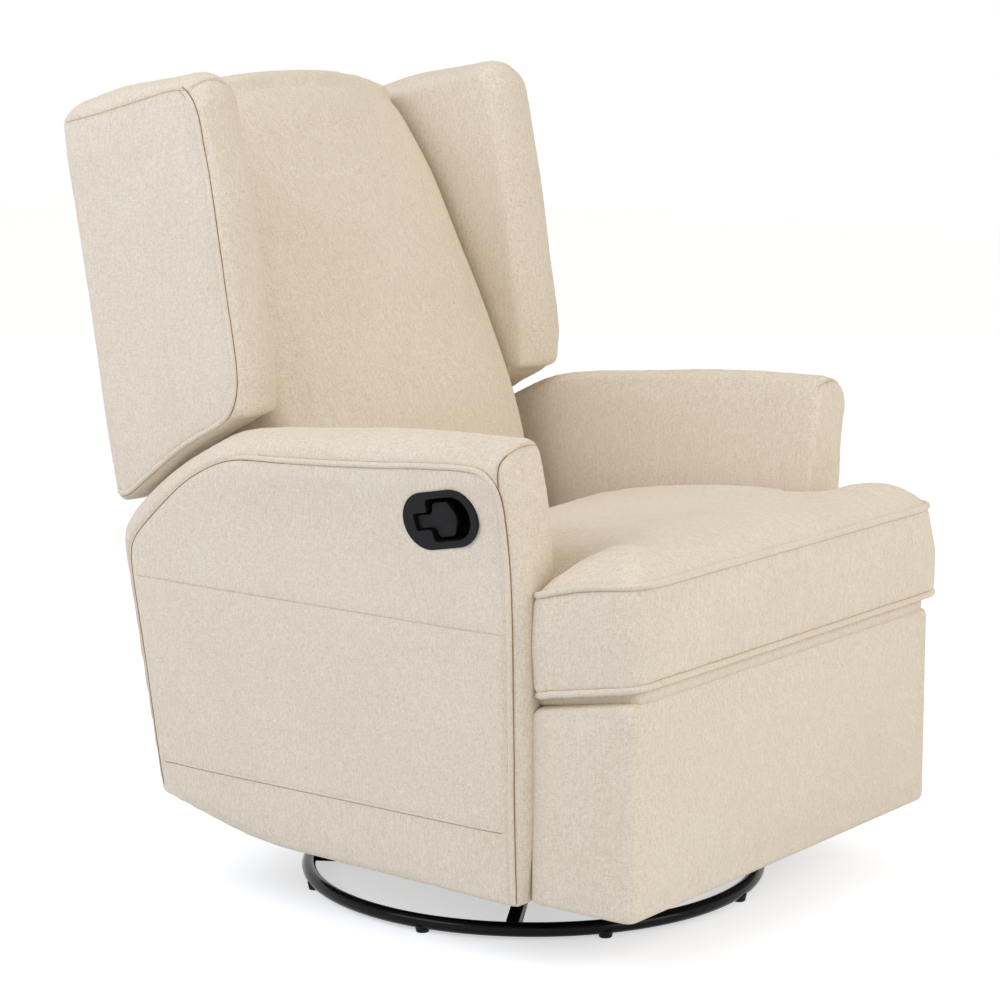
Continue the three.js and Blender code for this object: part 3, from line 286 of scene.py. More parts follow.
def markSeams(piece, paths, width):
    # how close each vertex is to a seam, read by the cloth's material to paint shade along the seam
    shade = np.zeros(len(piece.data.vertices))
    for path in paths:
        away, _ = nearest(piece, path, 4 * width)
        shade = np.maximum(shade, np.exp(-((away / width) ** 2)))
    layer = piece.data.attributes.new("seamShade", "FLOAT", "POINT")
    layer.data.foreach_set("value", shade.astype(np.float32))


def puff(piece, spec, seams=(), room=None):
    # cloth under light air pressure: seams stay put, and no point moves further than its room
    start, outwards = pointsOf(piece), normalsOf(piece)
    held = np.zeros(len(start))
    for path in seams:
        away, _ = nearest(piece, path, 20)
        held = np.maximum(held, np.exp(-((away / spec["hold"]) ** 2)))
    group = piece.vertex_groups.new(name="held")
    for level in range(1, 11):
        chosen = np.flatnonzero(np.ceil(held * 10) == level)
        if len(chosen):
            group.add([int(i) for i in chosen], level / 10, "REPLACE")
    cloth = piece.modifiers.new("cloth", "CLOTH")
    settings = cloth.settings
    settings.quality = spec.get("quality", 4)
    settings.mass = 0.3
    settings.tension_stiffness = settings.compression_stiffness = spec["stiff"]
    settings.shear_stiffness = spec["stiff"] / 2
    settings.bending_stiffness = spec["bend"]
    settings.use_pressure = True
    settings.uniform_pressure_force = spec["pressure"]
    settings.effector_weights.gravity = 0
    settings.vertex_group_mass = "held"
    cloth.point_cache.frame_start, cloth.point_cache.frame_end = 1, spec["frames"]
    for step in range(1, spec["frames"] + 1):
        bpy.context.scene.frame_set(step)
    graph = bpy.context.evaluated_depsgraph_get()
    shown = piece.evaluated_get(graph)
    flat = np.empty(len(start) * 3, np.float32)
    shown.data.vertices.foreach_get("co", flat)
    moved = flat.reshape(-1, 3) - start
    size = np.linalg.norm(moved, axis=1)
    limit = spec["cap"] * drawing["unit"] * (np.ones(len(start)) if room is None else room(start))
    share = np.where(size > 1e-9, np.minimum(1, limit / np.maximum(size, 1e-9)), 0)
    share *= np.where(np.sum(moved * outwards, axis=1) < 0, spec["sink"], 1)
    piece.modifiers.remove(cloth)
    piece.vertex_groups.clear()
    bpy.context.scene.frame_set(1)
    movePoints(piece, start + moved * share[:, None])
    return piece


def finer(piece):
    rounds = piece.modifiers.new("finer", "SUBSURF")
    rounds.levels = rounds.render_levels = 1
    return applied(piece)


def shadeSmooth(piece, angle=None):
    piece.data.shade_smooth()
    if angle:
        piece.data.set_sharp_from_angle(angle=math.radians(angle))
    return piece


def cutAway(piece, *tools):
    for tool in tools:
        carve = piece.modifiers.new("carve", "BOOLEAN")
        carve.operation = "DIFFERENCE"
        carve.solver = "EXACT"
        carve.object = tool
    applied(piece)
    for tool in tools:
        bpy.data.objects.remove(tool)
    return piece


# materials

def addNode(tree, kind, inputs=None, **settings):
    made = tree.nodes.new(kind)
    for key, value in settings.items():
        setattr(made, key, value)
    for key, value in (inputs or {}).items():
        if isinstance(value, bpy.types.NodeSocket):
            tree.links.new(value, made.inputs[key])
        else:
            made.inputs[key].default_value = value
    return made


def maths(tree, operation, first, second=0.0, clamp=False):
    return addNode(
        tree, "ShaderNodeMath", {0: first, 1: second}, operation=operation, use_clamp=clamp
    ).outputs[0]


def blend(tree, share, first, second, mode="MIX"):
    made = addNode(tree, "ShaderNodeMix", data_type="RGBA", blend_type=mode)
    for index, value in ((0, share), (6, first), (7, second)):
        if isinstance(value, bpy.types.NodeSocket):
            tree.links.new(value, made.inputs[index])
        else:
            made.inputs[index].default_value = value
    return made.outputs[2]


def grainAt(tree, vector, scale, detail=2.0, rough=0.5):
    return addNode(
        tree, "ShaderNodeTexNoise",
        {"Vector": vector, "Scale": scale, "Detail": detail, "Roughness": rough},
    ).outputs["Fac"]


def shaderGroup(name, inputs, outputs):
    tree = bpy.data.node_groups.new(name, "ShaderNodeTree")
    for label, kind, value in inputs:
        socket = tree.interface.new_socket(label, in_out="INPUT", socket_type=kind)
        if value is not None:
            socket.default_value = value
    for label, kind in outputs:
        tree.interface.new_socket(label, in_out="OUTPUT", socket_type=kind)
    return tree, tree.nodes.new("NodeGroupInput").outputs, tree.nodes.new("NodeGroupOutput").inputs


def linenGroup():
    # warp slubs, weft threads and flecks, laid square on whichever way the cloth faces
    tree, given, out = shaderGroup(
        "linenWeave",
        [
            ("Vector", "NodeSocketVector", None),
            ("Facing", "NodeSocketVector", None),
            ("Light", "NodeSocketColor", (0.8, 0.7, 0.6, 1)),
            ("Shade", "NodeSocketColor", (0.7, 0.6, 0.5, 1)),
            ("Fleck", "NodeSocketColor", (0.4, 0.3, 0.2, 1)),
            ("Slub", "NodeSocketFloat", 1.0),
            ("Flecks", "NodeSocketFloat", 0.3),
            ("Fineness", "NodeSocketFloat", 1.0),
        ],
        [("Color", "NodeSocketColor"), ("Height", "NodeSocketFloat"),
         ("Roughness", "NodeSocketFloat")],
    )
    facing = addNode(tree, "ShaderNodeSeparateXYZ", {"Vector": given["Facing"]}).outputs
    across, deep, up = [maths(tree, "ABSOLUTE", facing[k]) for k in range(3)]
    flat = maths(tree, "GREATER_THAN", up, 0.74)
    side = maths(tree, "GREATER_THAN", across, deep)
    even = addNode(
        tree, "ShaderNodeVectorMath",
        {0: given["Vector"], "Scale": given["Fineness"]}, operation="SCALE",
    ).outputs[0]

    def threads(wide, long, detail=2.0):
        low = wide * 0.12
        upright = addNode(
            tree, "ShaderNodeMix", {0: side, 4: (wide, low, long), 5: (low, wide, long)},
            data_type="VECTOR",
        ).outputs[1]
        stretch = addNode(
            tree, "ShaderNodeMix", {0: flat, 4: upright, 5: (wide, long, low)},
            data_type="VECTOR",
        ).outputs[1]
        laid = addNode(tree, "ShaderNodeVectorMath", {0: even, 1: stretch}, operation="MULTIPLY")
        return grainAt(tree, laid.outputs[0], 1.0, detail)

    warp = threads(820, 190)
    slub = threads(340, 60)
    weft = threads(260, 900)
    specks = threads(640, 260, 1.0)
    fuzz = grainAt(tree, even, 1300.0, 1.0)
    broad = grainAt(tree, given["Vector"], 9.0, 3.0)
    centre = lambda value, gain: maths(
        tree, "MULTIPLY", maths(tree, "SUBTRACT", value, 0.5), gain
    )
    tone = maths(tree, "ADD", centre(warp, 1.3), centre(slub, 0.6))
    tone = maths(tree, "MULTIPLY", tone, given["Slub"])
    tone = maths(tree, "ADD", tone, centre(weft, 1.2))
    tone = maths(tree, "ADD", tone, centre(fuzz, 1.1))
    tone = maths(tree, "ADD", tone, centre(broad, 0.25))
    tone = maths(tree, "ADD", tone, 0.45, True)
    color = blend(tree, tone, given["Light"], given["Shade"])
    mask = maths(tree, "MULTIPLY", maths(tree, "SUBTRACT", specks, 0.64), 9.0, True)
    mask = maths(tree, "MULTIPLY", mask, given["Flecks"])
    tree.links.new(blend(tree, mask, color, given["Fleck"]), out["Color"])
    height = maths(tree, "ADD", maths(tree, "MULTIPLY", warp, 0.5), maths(tree, "MULTIPLY", weft, 0.5))
    height = maths(tree, "ADD", height, maths(tree, "MULTIPLY", slub, 0.35))
    tree.links.new(height, out["Height"])
    tree.links.new(maths(tree, "ADD", centre(slub, 0.2), 0.86), out["Roughness"])
    return tree


def speckGroup():
    # a fine moulded or sprayed skin: bump, and a small change of gloss
    tree, given, out = shaderGroup(
        "speckledSkin",
        [("Vector", "NodeSocketVector", None), ("Grain", "NodeSocketFloat", 1500.0),
         ("Patches", "NodeSocketFloat", 25.0), ("Gloss", "NodeSocketFloat", 0.4),
         ("Spread", "NodeSocketFloat", 0.1)],
        [("Height", "NodeSocketFloat"), ("Roughness", "NodeSocketFloat"),
         ("Mask", "NodeSocketFloat")],
    )
    fine = grainAt(tree, given["Vector"], given["Grain"], 2.0)
    wide = grainAt(tree, given["Vector"], given["Patches"], 4.0, 0.6)
    tree.links.new(fine, out["Height"])
    spread = maths(tree, "MULTIPLY", maths(tree, "SUBTRACT", wide, 0.5), given["Spread"])
    tree.links.new(maths(tree, "ADD", spread, given["Gloss"], True), out["Roughness"])
    mask = maths(tree, "MULTIPLY", maths(tree, "SUBTRACT", wide, 0.55), 6.0, True)
    tree.links.new(mask, out["Mask"])
    return tree


linenWeave = linenGroup()
speckledSkin = speckGroup()


def newMaterial(name, **sockets):
    made = bpy.data.materials.new(name)
    made.use_nodes = True
    tree = made.node_tree
    shader = next(n for n in tree.nodes if n.type == "BSDF_PRINCIPLED")
    for key, value in sockets.items():
        shader.inputs[key.replace("_", " ")].default_value = value
    spot = tree.nodes.new("ShaderNodeTexCoord")
    return made, tree, shader, spot


def groupNode(tree, group, inputs):
    made = tree.nodes.new("ShaderNodeGroup")
    made.node_tree = group
    for key, value in inputs.items():
        if isinstance(value, bpy.types.NodeSocket):
            tree.links.new(value, made.inputs[key])
        else:
            made.inputs[key].default_value = value
    return made.outputs


def addBump(tree, shader, height, strength, distance):
    bump = addNode(
        tree, "ShaderNodeBump",
        {"Height": height, "Strength": strength, "Distance": distance * drawing["unit"]},
    )
    tree.links.new(bump.outputs[0], shader.inputs["Normal"])


def clothMaterial(name, spec):
    made, tree, shader, spot = newMaterial(
        name, Sheen_Weight=spec["sheen"], Sheen_Roughness=0.45, Sheen_Tint=spec["sheenTint"],
        Specular_IOR_Level=0.25,
    )
    weave = groupNode(tree, linenWeave, {
        "Vector": spot.outputs["Object"], "Facing": spot.outputs["Normal"],
        "Light": spec["light"], "Shade": spec["shade"], "Fleck": spec["fleck"],
        "Slub": spec["slub"], "Flecks": spec["flecks"], "Fineness": spec["fineness"],
    })
    # painted shade: the cloth's colour is darkened towards its seams, where shade falls
    seam = addNode(tree, "ShaderNodeAttribute", attribute_name="seamShade").outputs["Fac"]
    deep = maths(tree, "MULTIPLY", seam, spec["seamShadeDepth"])
    tree.links.new(
        blend(tree, deep, weave["Color"], spec["seamShadeColor"], "MULTIPLY"), shader.inputs["Base Color"]
    )
    tree.links.new(weave["Roughness"], shader.inputs["Roughness"])
    addBump(tree, shader, weave["Height"], spec["bump"], spec["nap"])
    return made


clothSpec = {
    "light": (0.875, 0.803, 0.697, 1), "shade": (0.67, 0.565, 0.45, 1), "fleck": (0.40, 0.29, 0.18, 1),
    "slub": 1.0, "flecks": 0.25, "fineness": 1.0, "sheen": 0.2, "sheenTint": (1.0, 0.93, 0.82, 1),
    # the seam entries paint shade along the seams: how much, and in what colour
    "bump": 0.5, "nap": 0.6, "seamShadeDepth": 0.35, "seamShadeColor": (0.62, 0.47, 0.31, 1),
}
upholstery = clothMaterial("creamLinen", clothSpec)
weltCloth = clothMaterial("creamLinenWelt", {**clothSpec, "slub": 0.8, "fineness": 1.2, "bump": 0.4})
# painted shadow lines: dark cloth for thin tubes laid where a seam's shadow falls, and a lighter one for softer
# shade
shadowLineCloth = clothMaterial(
    "creamLinenShadowLine",
    {**clothSpec, "light": (0.34, 0.20, 0.10, 1), "shade": (0.22, 0.12, 0.055, 1), "sheen": 0.0},
)
softShadowLineCloth = clothMaterial(
    "creamLinenSoftShadowLine",
    {**clothSpec, "light": (0.56, 0.44, 0.31, 1), "shade": (0.42, 0.31, 0.20, 1), "sheen": 0.0},
)
deckCloth = clothMaterial(
    "creamDeckCloth",
    {**clothSpec, "light": (0.85, 0.78, 0.66, 1), "shade": (0.67, 0.565, 0.44, 1), "sheen": 0.1},
)


def threadMaterial():
    made, tree, shader, spot = newMaterial("creamThread", Sheen_Weight=0.2)
    twist = addNode(
        tree, "ShaderNodeTexWave", {"Vector": spot.outputs["Object"], "Scale": 900.0},
    ).outputs["Fac"]
    tree.links.new(
        blend(tree, twist, (0.72, 0.64, 0.52, 1), (0.5, 0.42, 0.31, 1)), shader.inputs["Base Color"]
    )
    shader.inputs["Roughness"].default_value = 0.6
    addBump(tree, shader, twist, 0.4, 0.2)
    return made


def enamelMaterial(name, color, worn, gloss, spread, coat, peel, shine=0.5):
    made, tree, shader, spot = newMaterial(
        name, Coat_Weight=coat, Coat_Roughness=0.06, Specular_IOR_Level=shine,
    )
    skin = groupNode(tree, speckledSkin, {
        "Vector": spot.outputs["Object"], "Grain": 420.0, "Patches": 18.0, "Gloss": gloss,
        "Spread": spread,
    })
    tree.links.new(blend(tree, skin["Mask"], color, worn), shader.inputs["Base Color"])
    tree.links.new(skin["Roughness"], shader.inputs["Roughness"])
    addBump(tree, shader, skin["Height"], peel, 0.15)
    return made


def nylonMaterial():
    made, tree, shader, spot = newMaterial("blackNylon", Specular_IOR_Level=0.16)
    skin = groupNode(tree, speckledSkin, {
        "Vector": spot.outputs["Object"], "Grain": 1700.0, "Patches": 40.0, "Gloss": 0.5,
        "Spread": 0.12,
    })
    tree.links.new(
        blend(tree, skin["Mask"], (0.0075, 0.0075, 0.0082, 1), (0.011, 0.011, 0.0118, 1)),
        shader.inputs["Base Color"],
    )
    tree.links.new(skin["Roughness"], shader.inputs["Roughness"])
    addBump(tree, shader, skin["Height"], 0.5, 0.25)
    return made


def zincMaterial():
    made, tree, shader, spot = newMaterial("zincSteel", Metallic=0.9)
    skin = groupNode(tree, speckledSkin, {
        "Vector": spot.outputs["Object"], "Grain": 700.0, "Patches": 60.0, "Gloss": 0.36,
        "Spread": 0.3,
    })
    tree.links.new(
        blend(tree, skin["Mask"], (0.62, 0.63, 0.63, 1), (0.48, 0.49, 0.5, 1)),
        shader.inputs["Base Color"],
    )
    tree.links.new(skin["Roughness"], shader.inputs["Roughness"])
    addBump(tree, shader, skin["Height"], 0.3, 0.1)
    return made


def plywoodMaterial():
    made, tree, shader, spot = newMaterial("poplarPlywood", Specular_IOR_Level=0.3)
    stretch = addNode(
        tree, "ShaderNodeMapping", {"Vector": spot.outputs["Object"], "Scale": (1.5, 22, 22)},
    ).outputs[0]
    rings = grainAt(tree, stretch, 3.0, 5.0, 0.6)
    lines = addNode(
        tree, "ShaderNodeTexWave",
        {"Vector": stretch, "Scale": 2.2, "Distortion": 5.0, "Detail": 3.0}, bands_direction="Z",
    ).outputs["Fac"]
    both = maths(tree, "MULTIPLY", maths(tree, "ADD", rings, lines), 0.5)
    tree.links.new(
        blend(tree, both, (0.76, 0.62, 0.42, 1), (0.5, 0.36, 0.2, 1)), shader.inputs["Base Color"]
    )
    shader.inputs["Roughness"].default_value = 0.68
    addBump(tree, shader, both, 0.3, 0.4)
    return made


def feltMaterial():
    made, tree, shader, spot = newMaterial("deckFelt", Sheen_Weight=0.4)
    fluff = grainAt(tree, spot.outputs["Object"], 420.0, 5.0, 0.7)
    tree.links.new(
        blend(tree, fluff, (0.2, 0.195, 0.185, 1), (0.07, 0.068, 0.064, 1)),
        shader.inputs["Base Color"],
    )
    shader.inputs["Roughness"].default_value = 0.95
    addBump(tree, shader, fluff, 0.8, 1.0)
    return made


finishes = {
    "upholstery": upholstery,
    "under_cloth": deckCloth,
    "deck_felt": feltMaterial(),
    "ring_enamel": enamelMaterial(
        "glossBlackEnamel", (0.003, 0.003, 0.0035, 1), (0.005, 0.005, 0.005, 1), 0.13, 0.08, 0.06, 0.1,
        0.12,
    ),
    "frame_enamel": enamelMaterial(
        "satinGreyEnamel", (0.045, 0.046, 0.048, 1), (0.06, 0.06, 0.062, 1), 0.42, 0.2, 0.1, 0.3
    ),
    "zinc_steel": zincMaterial(),
    "plywood": plywoodMaterial(),
    "black_nylon": nylonMaterial(),
}
thread = threadMaterial()
print("materials ready")


# Geometry Nodes: welts and stitches along sewn paths

def nodesTree(name, sockets):
    tree = bpy.data.node_groups.new(name, "GeometryNodeTree")
    names = {}
    tree.interface.new_socket("Geometry", in_out="INPUT", socket_type="NodeSocketGeometry")
    for label, kind in sockets:
        made = tree.interface.new_socket(label, in_out="INPUT", socket_type=kind)
        names[label] = made.identifier
    tree.interface.new_socket("Geometry", in_out="OUTPUT", socket_type="NodeSocketGeometry")
    return tree, names, tree.nodes.new("NodeGroupInput").outputs, tree.nodes.new("NodeGroupOutput")


def weltTree():
    # cord wrapped in cloth: a tube along each path, a little uneven as sewn by hand
    tree, names, given, out = nodesTree("weltAlongSeam", [
        ("Radius", "NodeSocketFloat"), ("Unevenness", "NodeSocketFloat"),
        ("Material", "NodeSocketMaterial"),
    ])
    line = addNode(tree, "GeometryNodeMeshToCurve", {0: given["Geometry"]}).outputs[0]
    ring = addNode(
        tree, "GeometryNodeCurvePrimitiveCircle", {"Resolution": 10, "Radius": given["Radius"]}
    ).outputs[0]
    tube = addNode(
        tree, "GeometryNodeCurveToMesh", {0: line, 1: ring, "Fill Caps": True}
    ).outputs[0]
    lumps = addNode(
        tree, "ShaderNodeTexNoise", {"Scale": 90.0, "Detail": 2.0},
    ).outputs["Fac"]
    swing = maths(tree, "MULTIPLY", maths(tree, "SUBTRACT", lumps, 0.5), given["Unevenness"])
    outwards = addNode(
        tree, "ShaderNodeVectorMath",
        {0: addNode(tree, "GeometryNodeInputNormal").outputs[0], "Scale": swing}, operation="SCALE",
    ).outputs[0]
    moved = addNode(tree, "GeometryNodeSetPosition", {0: tube, "Offset": outwards}).outputs[0]
    soft = addNode(tree, "GeometryNodeSetShadeSmooth", {0: moved}).outputs[0]
    whole = addNode(tree, "GeometryNodeRealizeInstances", {0: soft}).outputs[0]
    last = addNode(
        tree, "GeometryNodeSetMaterial", {0: whole, "Material": given["Material"]}
    ).outputs[0]
    tree.links.new(last, out.inputs[0])
    return tree, names


def stitchTree():
    # thread showing between needle holes, one small bar for each stitch
    tree, names, given, out = nodesTree("stitchesAlongSeam", [
        ("Pitch", "NodeSocketFloat"), ("Length", "NodeSocketFloat"),
        ("Thickness", "NodeSocketFloat"), ("Material", "NodeSocketMaterial"),
    ])
    line = addNode(tree, "GeometryNodeMeshToCurve", {0: given["Geometry"]}).outputs[0]
    dots = addNode(
        tree, "GeometryNodeResampleCurve", {0: line, "Length": given["Pitch"]}, mode="LENGTH"
    )
    bar = addNode(
        tree, "GeometryNodeMeshIcoSphere", {"Radius": 1.0, "Subdivisions": 2}
    ).outputs["Mesh"]
    turn = addNode(
        tree, "FunctionNodeAlignRotationToVector",
        {"Vector": addNode(tree, "GeometryNodeInputTangent").outputs[0]}, axis="Z",
    ).outputs[0]
    size = addNode(tree, "ShaderNodeCombineXYZ", {
        "X": given["Thickness"], "Y": given["Thickness"],
        "Z": maths(tree, "MULTIPLY", given["Length"], 0.5),
    }).outputs[0]
    many = addNode(tree, "GeometryNodeInstanceOnPoints", {
        "Points": dots.outputs[0], "Instance": bar, "Rotation": turn, "Scale": size,
    }).outputs[0]
    whole = addNode(tree, "GeometryNodeRealizeInstances", {0: many}).outputs[0]
    soft = addNode(tree, "GeometryNodeSetShadeSmooth", {0: whole}).outputs[0]
    last = addNode(
        tree, "GeometryNodeSetMaterial", {0: soft, "Material": given["Material"]}
    ).outputs[0]
    tree.links.new(last, out.inputs[0])
    return tree, names


weltMaker = weltTree()
stitchMaker = stitchTree()


def grown(name, paths, maker, values):
    # runs a tree over paths, each (points, closed), and keeps the result as a plain mesh
    points, edges = [], []
    for path, closed in paths:
        first = len(points)
        points += [tuple(p) for p in path]
        edges += [(i, i + 1) for i in range(first, len(points) - 1)]
        if closed:
            edges.append((len(points) - 1, first))
    mesh = bpy.data.meshes.new(name)
    mesh.from_pydata(points, edges, [])
    piece = bpy.data.objects.new(name, mesh)
    bpy.context.scene.collection.objects.link(piece)
    tree, names = maker
    modifier = piece.modifiers.new("grow", "NODES")
    modifier.node_group = tree
    for label, value in values.items():
        modifier[names[label]] = value
    return applied(piece)


def welt(name, paths, body, radius=3.6, uneven=0.8, material=None):
    made = grown(name, paths, weltMaker, {
        "Radius": radius * drawing["unit"], "Unevenness": uneven * drawing["unit"],
        "Material": material or weltCloth,
    })
    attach(made, body)
    return made


def shadowLine(name, paths, body, radius=0.7, material=None):
    # a thin dark tube that paints the shadow line where two panels are drawn together by a seam
    return welt(name, paths, body, radius, 0.3, material or shadowLineCloth)


def stitches(name, paths, body, pitch=3.6, length=2.6, thick=0.45):
    unit = drawing["unit"]
    made = grown(name, paths, stitchMaker, {
        "Pitch": pitch * unit, "Length": length * unit, "Thickness": thick * unit,
        "Material": thread,
    })
    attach(made, body)
    return made


def dressed(piece, body, slot, *nodes, fill=None, material=None):
    piece.data.materials.clear()
    piece.data.materials.append(material or finishes[slot])
    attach(piece, body)
    if nodes:
        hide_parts(*nodes)
    return piece


puffSpec = {
    "pressure": 4.0, "stiff": 15.0, "bend": 0.5, "frames": 20, "cap": 8.0, "hold": 7.0, "quality": 3,
    "sink": 0.25,
}
seamSpec = {"depth": 3.4, "width": 6.0, "reach": 14.0, "pitch": 11.0, "pucker": 0.5}


# seat cushion: a T in plan, welted round its top and bottom edges

seatSpec = {
    "frontY": -399, "rearY": 150, "undersideZ": 359.5, "pitch": math.radians(10.5),
    "seam": 118, "crown": 42, "earHalf": 337, "neckHalf": 279, "earRearY": -249,
    "shoulder": 85.0, "swell": 4.5, "voxel": 7.0, "cap": 8.0, "welt": 4.3,
    "frontRound": (36, 54), "lowRound": (27, 8), "earRound": 4, "farEar": 12.0, "sideRise": 6.5,
    "rearRise": 19.0, "farRise": 8.0, "midRound": (34, 40),
}


def seatLine(y):
    return seatSpec["undersideZ"] - (y - seatSpec["frontY"]) * math.tan(seatSpec["pitch"])


def seatPlan(step, inset=0.0, rounding=None):
    s = seatSpec
    near, far = rounding or s["frontRound"]
    small = s["earRound"]
    ear, neck, front, rear, step0 = (
        s["earHalf"] - inset, s["neckHalf"] - inset, s["frontY"] + inset, s["rearY"] - inset,
        s["earRearY"] - inset,
    )
    wide = ear + s["farEar"]
    return filleted([
        (-ear, front, near), (wide, front, far), (wide, step0, small), (neck, step0, small),
        (neck, rear, 22), (-neck, rear, 22), (-neck, step0, small), (-ear, step0, small),
    ], step)


def seatTop(x, y):
    # the top seam's height: it arches a little along the sides of the ears
    s = seatSpec
    along = min(1, max(0, (y - s["frontY"]) / (s["earRearY"] - s["frontY"])))
    return seatLine(y) + s["seam"] + s["sideRise"] * math.sin(math.pi * along) * (abs(x) > 250)


def makeSeat():
    s = seatSpec
    plan = seatPlan(6)
    tree = kdtree.KDTree(len(plan))
    for i, (x, y) in enumerate(plan):
        tree.insert((x, y, 0), i)
    tree.balance()

    def rise(x, y):
        away = tree.find((x, y, 0))[2]
        edge = 1 - (1 - min(1, away / s["shoulder"])) ** 2.3
        # beside the arms the cushion stays full to its sides, the far one most
        if x > 0:
            inside = (s["neckHalf"] + 4 - x) / 22 * float(smoothStep(y, -258, -200))
        else:
            inside = (s["neckHalf"] + x) / 30 * float(smoothStep(y, -250, -140))
        edge = max(edge, 0.96 * min(1, max(0, inside)))
        edge *= float(smoothStep(s["rearY"] - y, 0, 90))
        along = (y - s["frontY"]) / (s["rearY"] - s["frontY"])
        full = s["crown"] + s["rearRise"] * float(smoothStep(along, 0.12, 0.7))
        full += s["farRise"] * float(smoothStep(x, 40, 230) * smoothStep(y, -310, -220))
        return full * edge * (1 - (0.18 if x > 0 else 0.12) * (x / s["earHalf"]) ** 2)

    # one flat triangulation serves the top and the underside, with the boxing between them
    loops = [plan] + [seatPlan(7, inset) for inset in (4, 10, 18)]
    loose = [
        (x, y)
        for x in np.arange(-s["earHalf"], s["earHalf"], 9.0)
        for y in np.arange(s["frontY"], s["rearY"], 9.0)
        if abs(x) < (s["earHalf"] if y < s["earRearY"] - 26 else s["neckHalf"]) - 26
        and s["frontY"] + 26 < y < s["rearY"] - 26
    ]
    flat = [Vector(p) for loop in loops for p in loop] + [Vector(p) for p in loose]
    rim = [(i, (i + 1) % len(plan)) for i in range(len(plan))]
    laid = geometry.delaunay_2d_cdt(flat, rim, [], 1, 1e-6)
    spots, tiles, source = laid[0], laid[2], laid[3]
    outline = {}
    for i, origins in enumerate(source):
        for origin in origins:
            if origin < len(plan):
                outline[origin] = i
    count = len(spots)
    points = [(p.x, p.y, seatTop(p.x, p.y) + rise(p.x, p.y)) for p in spots]
    points += [(p.x, p.y, seatLine(p.y)) for p in spots]
    faces = [list(t) for t in tiles] + [[count + k for k in reversed(t)] for t in tiles]
    edge = [outline[i] for i in range(len(plan))]
    low = seatPlan(2, 0, s["lowRound"])
    low = [min(low, key=lambda q: (q[0] - x) ** 2 + (q[1] - y) ** 2) for x, y in plan]
    for i, (x, y) in enumerate(low):
        points[count + edge[i]] = (x, y, seatLine(y))
    middle = len(points)
    swell = seatPlan(3, -s["swell"], s["midRound"])
    swell = [min(swell, key=lambda q: (q[0] - x) ** 2 + (q[1] - y) ** 2) for x, y in plan]
    points += [(x, y, seatLine(y) + s["seam"] / 2) for x, y in swell]
    for i in range(len(plan)):
        k = (i + 1) % len(plan)
        faces.append([edge[i], edge[k], middle + k, middle + i])
        faces.append([middle + i, middle + k, count + edge[k], count + edge[i]])
    piece = tidied(meshPiece("seat_cushion_cover", placed(points), faces), 1e-6)
    evenSkin(piece, s["voxel"], 5, 0.85)
    ring = [
        placed([(x, y, seatLine(y) + 2) for x, y in seatPlan(6, 0, s["lowRound"])]),
        placed([(x, y, seatTop(x, y)) for x, y in plan]),
    ]
    paths = [snapped(piece, r, 0, True, 2) for r in ring]
    besideArms = lambda p: smoothStep(p[:, 1], -0.31, -0.28) * smoothStep(np.abs(p[:, 0]), 0.23, 0.265)
    puff(piece, {**puffSpec, "cap": s["cap"]}, paths, lambda p: (
        (1 - 0.85 * besideArms(p)) * (1 - 0.6 * smoothStep(p[:, 1], 0.04, 0.09))
    ))
    finer(piece)
    paths = [snapped(piece, r, 0, True, 2) for r in ring]
    sewIn(piece, paths[1:], {**seamSpec, "depth": 1.4, "width": 5})
    sewIn(piece, paths[:1], {**seamSpec, "depth": 1.4, "width": 5, "pucker": 0.8, "pitch": 8.0})
    markSeams(piece, paths, 4)
    shadeSmooth(piece)
    dressed(piece, "chair", "upholstery", "seat_cushion", fill=0.8)
    rounds = [snapped(piece, p, 1.9, True, 2) for p in paths]
    welt("seat_cushion_welts", [(p, True) for p in rounds], "chair", s["welt"])
    # painted shadow lines beside the top and bottom welts
    shadowLines = [
        (beside(piece, paths[1], s["welt"] - 0.3, (0, 0, -1), 0.3, True), True),
        (beside(piece, paths[0], s["welt"] - 0.4, (0, 0, 1), 0.1, True), True),
    ]
    shadowLine("seat_cushion_shadow_lines", shadowLines, "chair", 0.6, softShadowLineCloth)
    return piece


# apron: the padded front rail between the seat cushion and the footrest

apronSpec = {
    "half": 323, "front": -392, "rear": -222, "corner": 15, "deepFront": 20, "deepRear": 13,
    "voxel": 6.0,
}


def makeApron():
    s = apronSpec
    plan = filleted([
        (-s["half"], s["front"], s["corner"]), (s["half"], s["front"], s["corner"]),
        (s["half"], s["rear"], 4), (-s["half"], s["rear"], 4),
    ], 6)
    along = np.roll(plan, -1, 0) - np.roll(plan, 1, 0)
    normals = np.stack([along[:, 1], -along[:, 0]], 1) / np.linalg.norm(along, axis=1)[:, None]
    rings = []
    for down, inset in ((0.0, 9), (0.02, 3), (0.12, 0.8), (0.35, 0), (0.6, 0), (0.8, 0.9),
                        (0.92, 3), (0.98, 6.5), (1.0, 12)):
        ring = plan - normals * inset
        share = (ring[:, 1] - s["front"]) / (s["rear"] - s["front"])
        deep = s["deepFront"] + (s["deepRear"] - s["deepFront"]) * share
        rings.append(np.c_[ring, seatLine(ring[:, 1]) + 3 - (deep + 3) * down])
    piece = loftPiece("front_apron_cover", placed(rings))
    evenSkin(piece, s["voxel"], 3)
    finer(piece)
    shadeSmooth(piece)
    dressed(piece, "chair", "under_cloth", "front_deck_board")


makeSeat()
makeApron()
print("seat cushion ready")


# arms: a tapering section carried back, flared at the top, with a soft roll

armSpec = {
    "frontY": -244, "innerX": 282.5, "outerX": 357, "footZ": 82.5, "topZ": 635, "length": 567,
    "topLength": 625, "leanOut": 6, "flareZ": 450, "flareOuter": 32, "flareInner": 34,
    "rollOuter": 40, "rollInner": 10, "crown": 4, "edge": 12, "rearEdge": 5, "voxel": 6.5,
    "panelCrown": 3.0, "cap": 3.0, "welt": 3.5, "corded": 0.66, "farBack": 7,
}
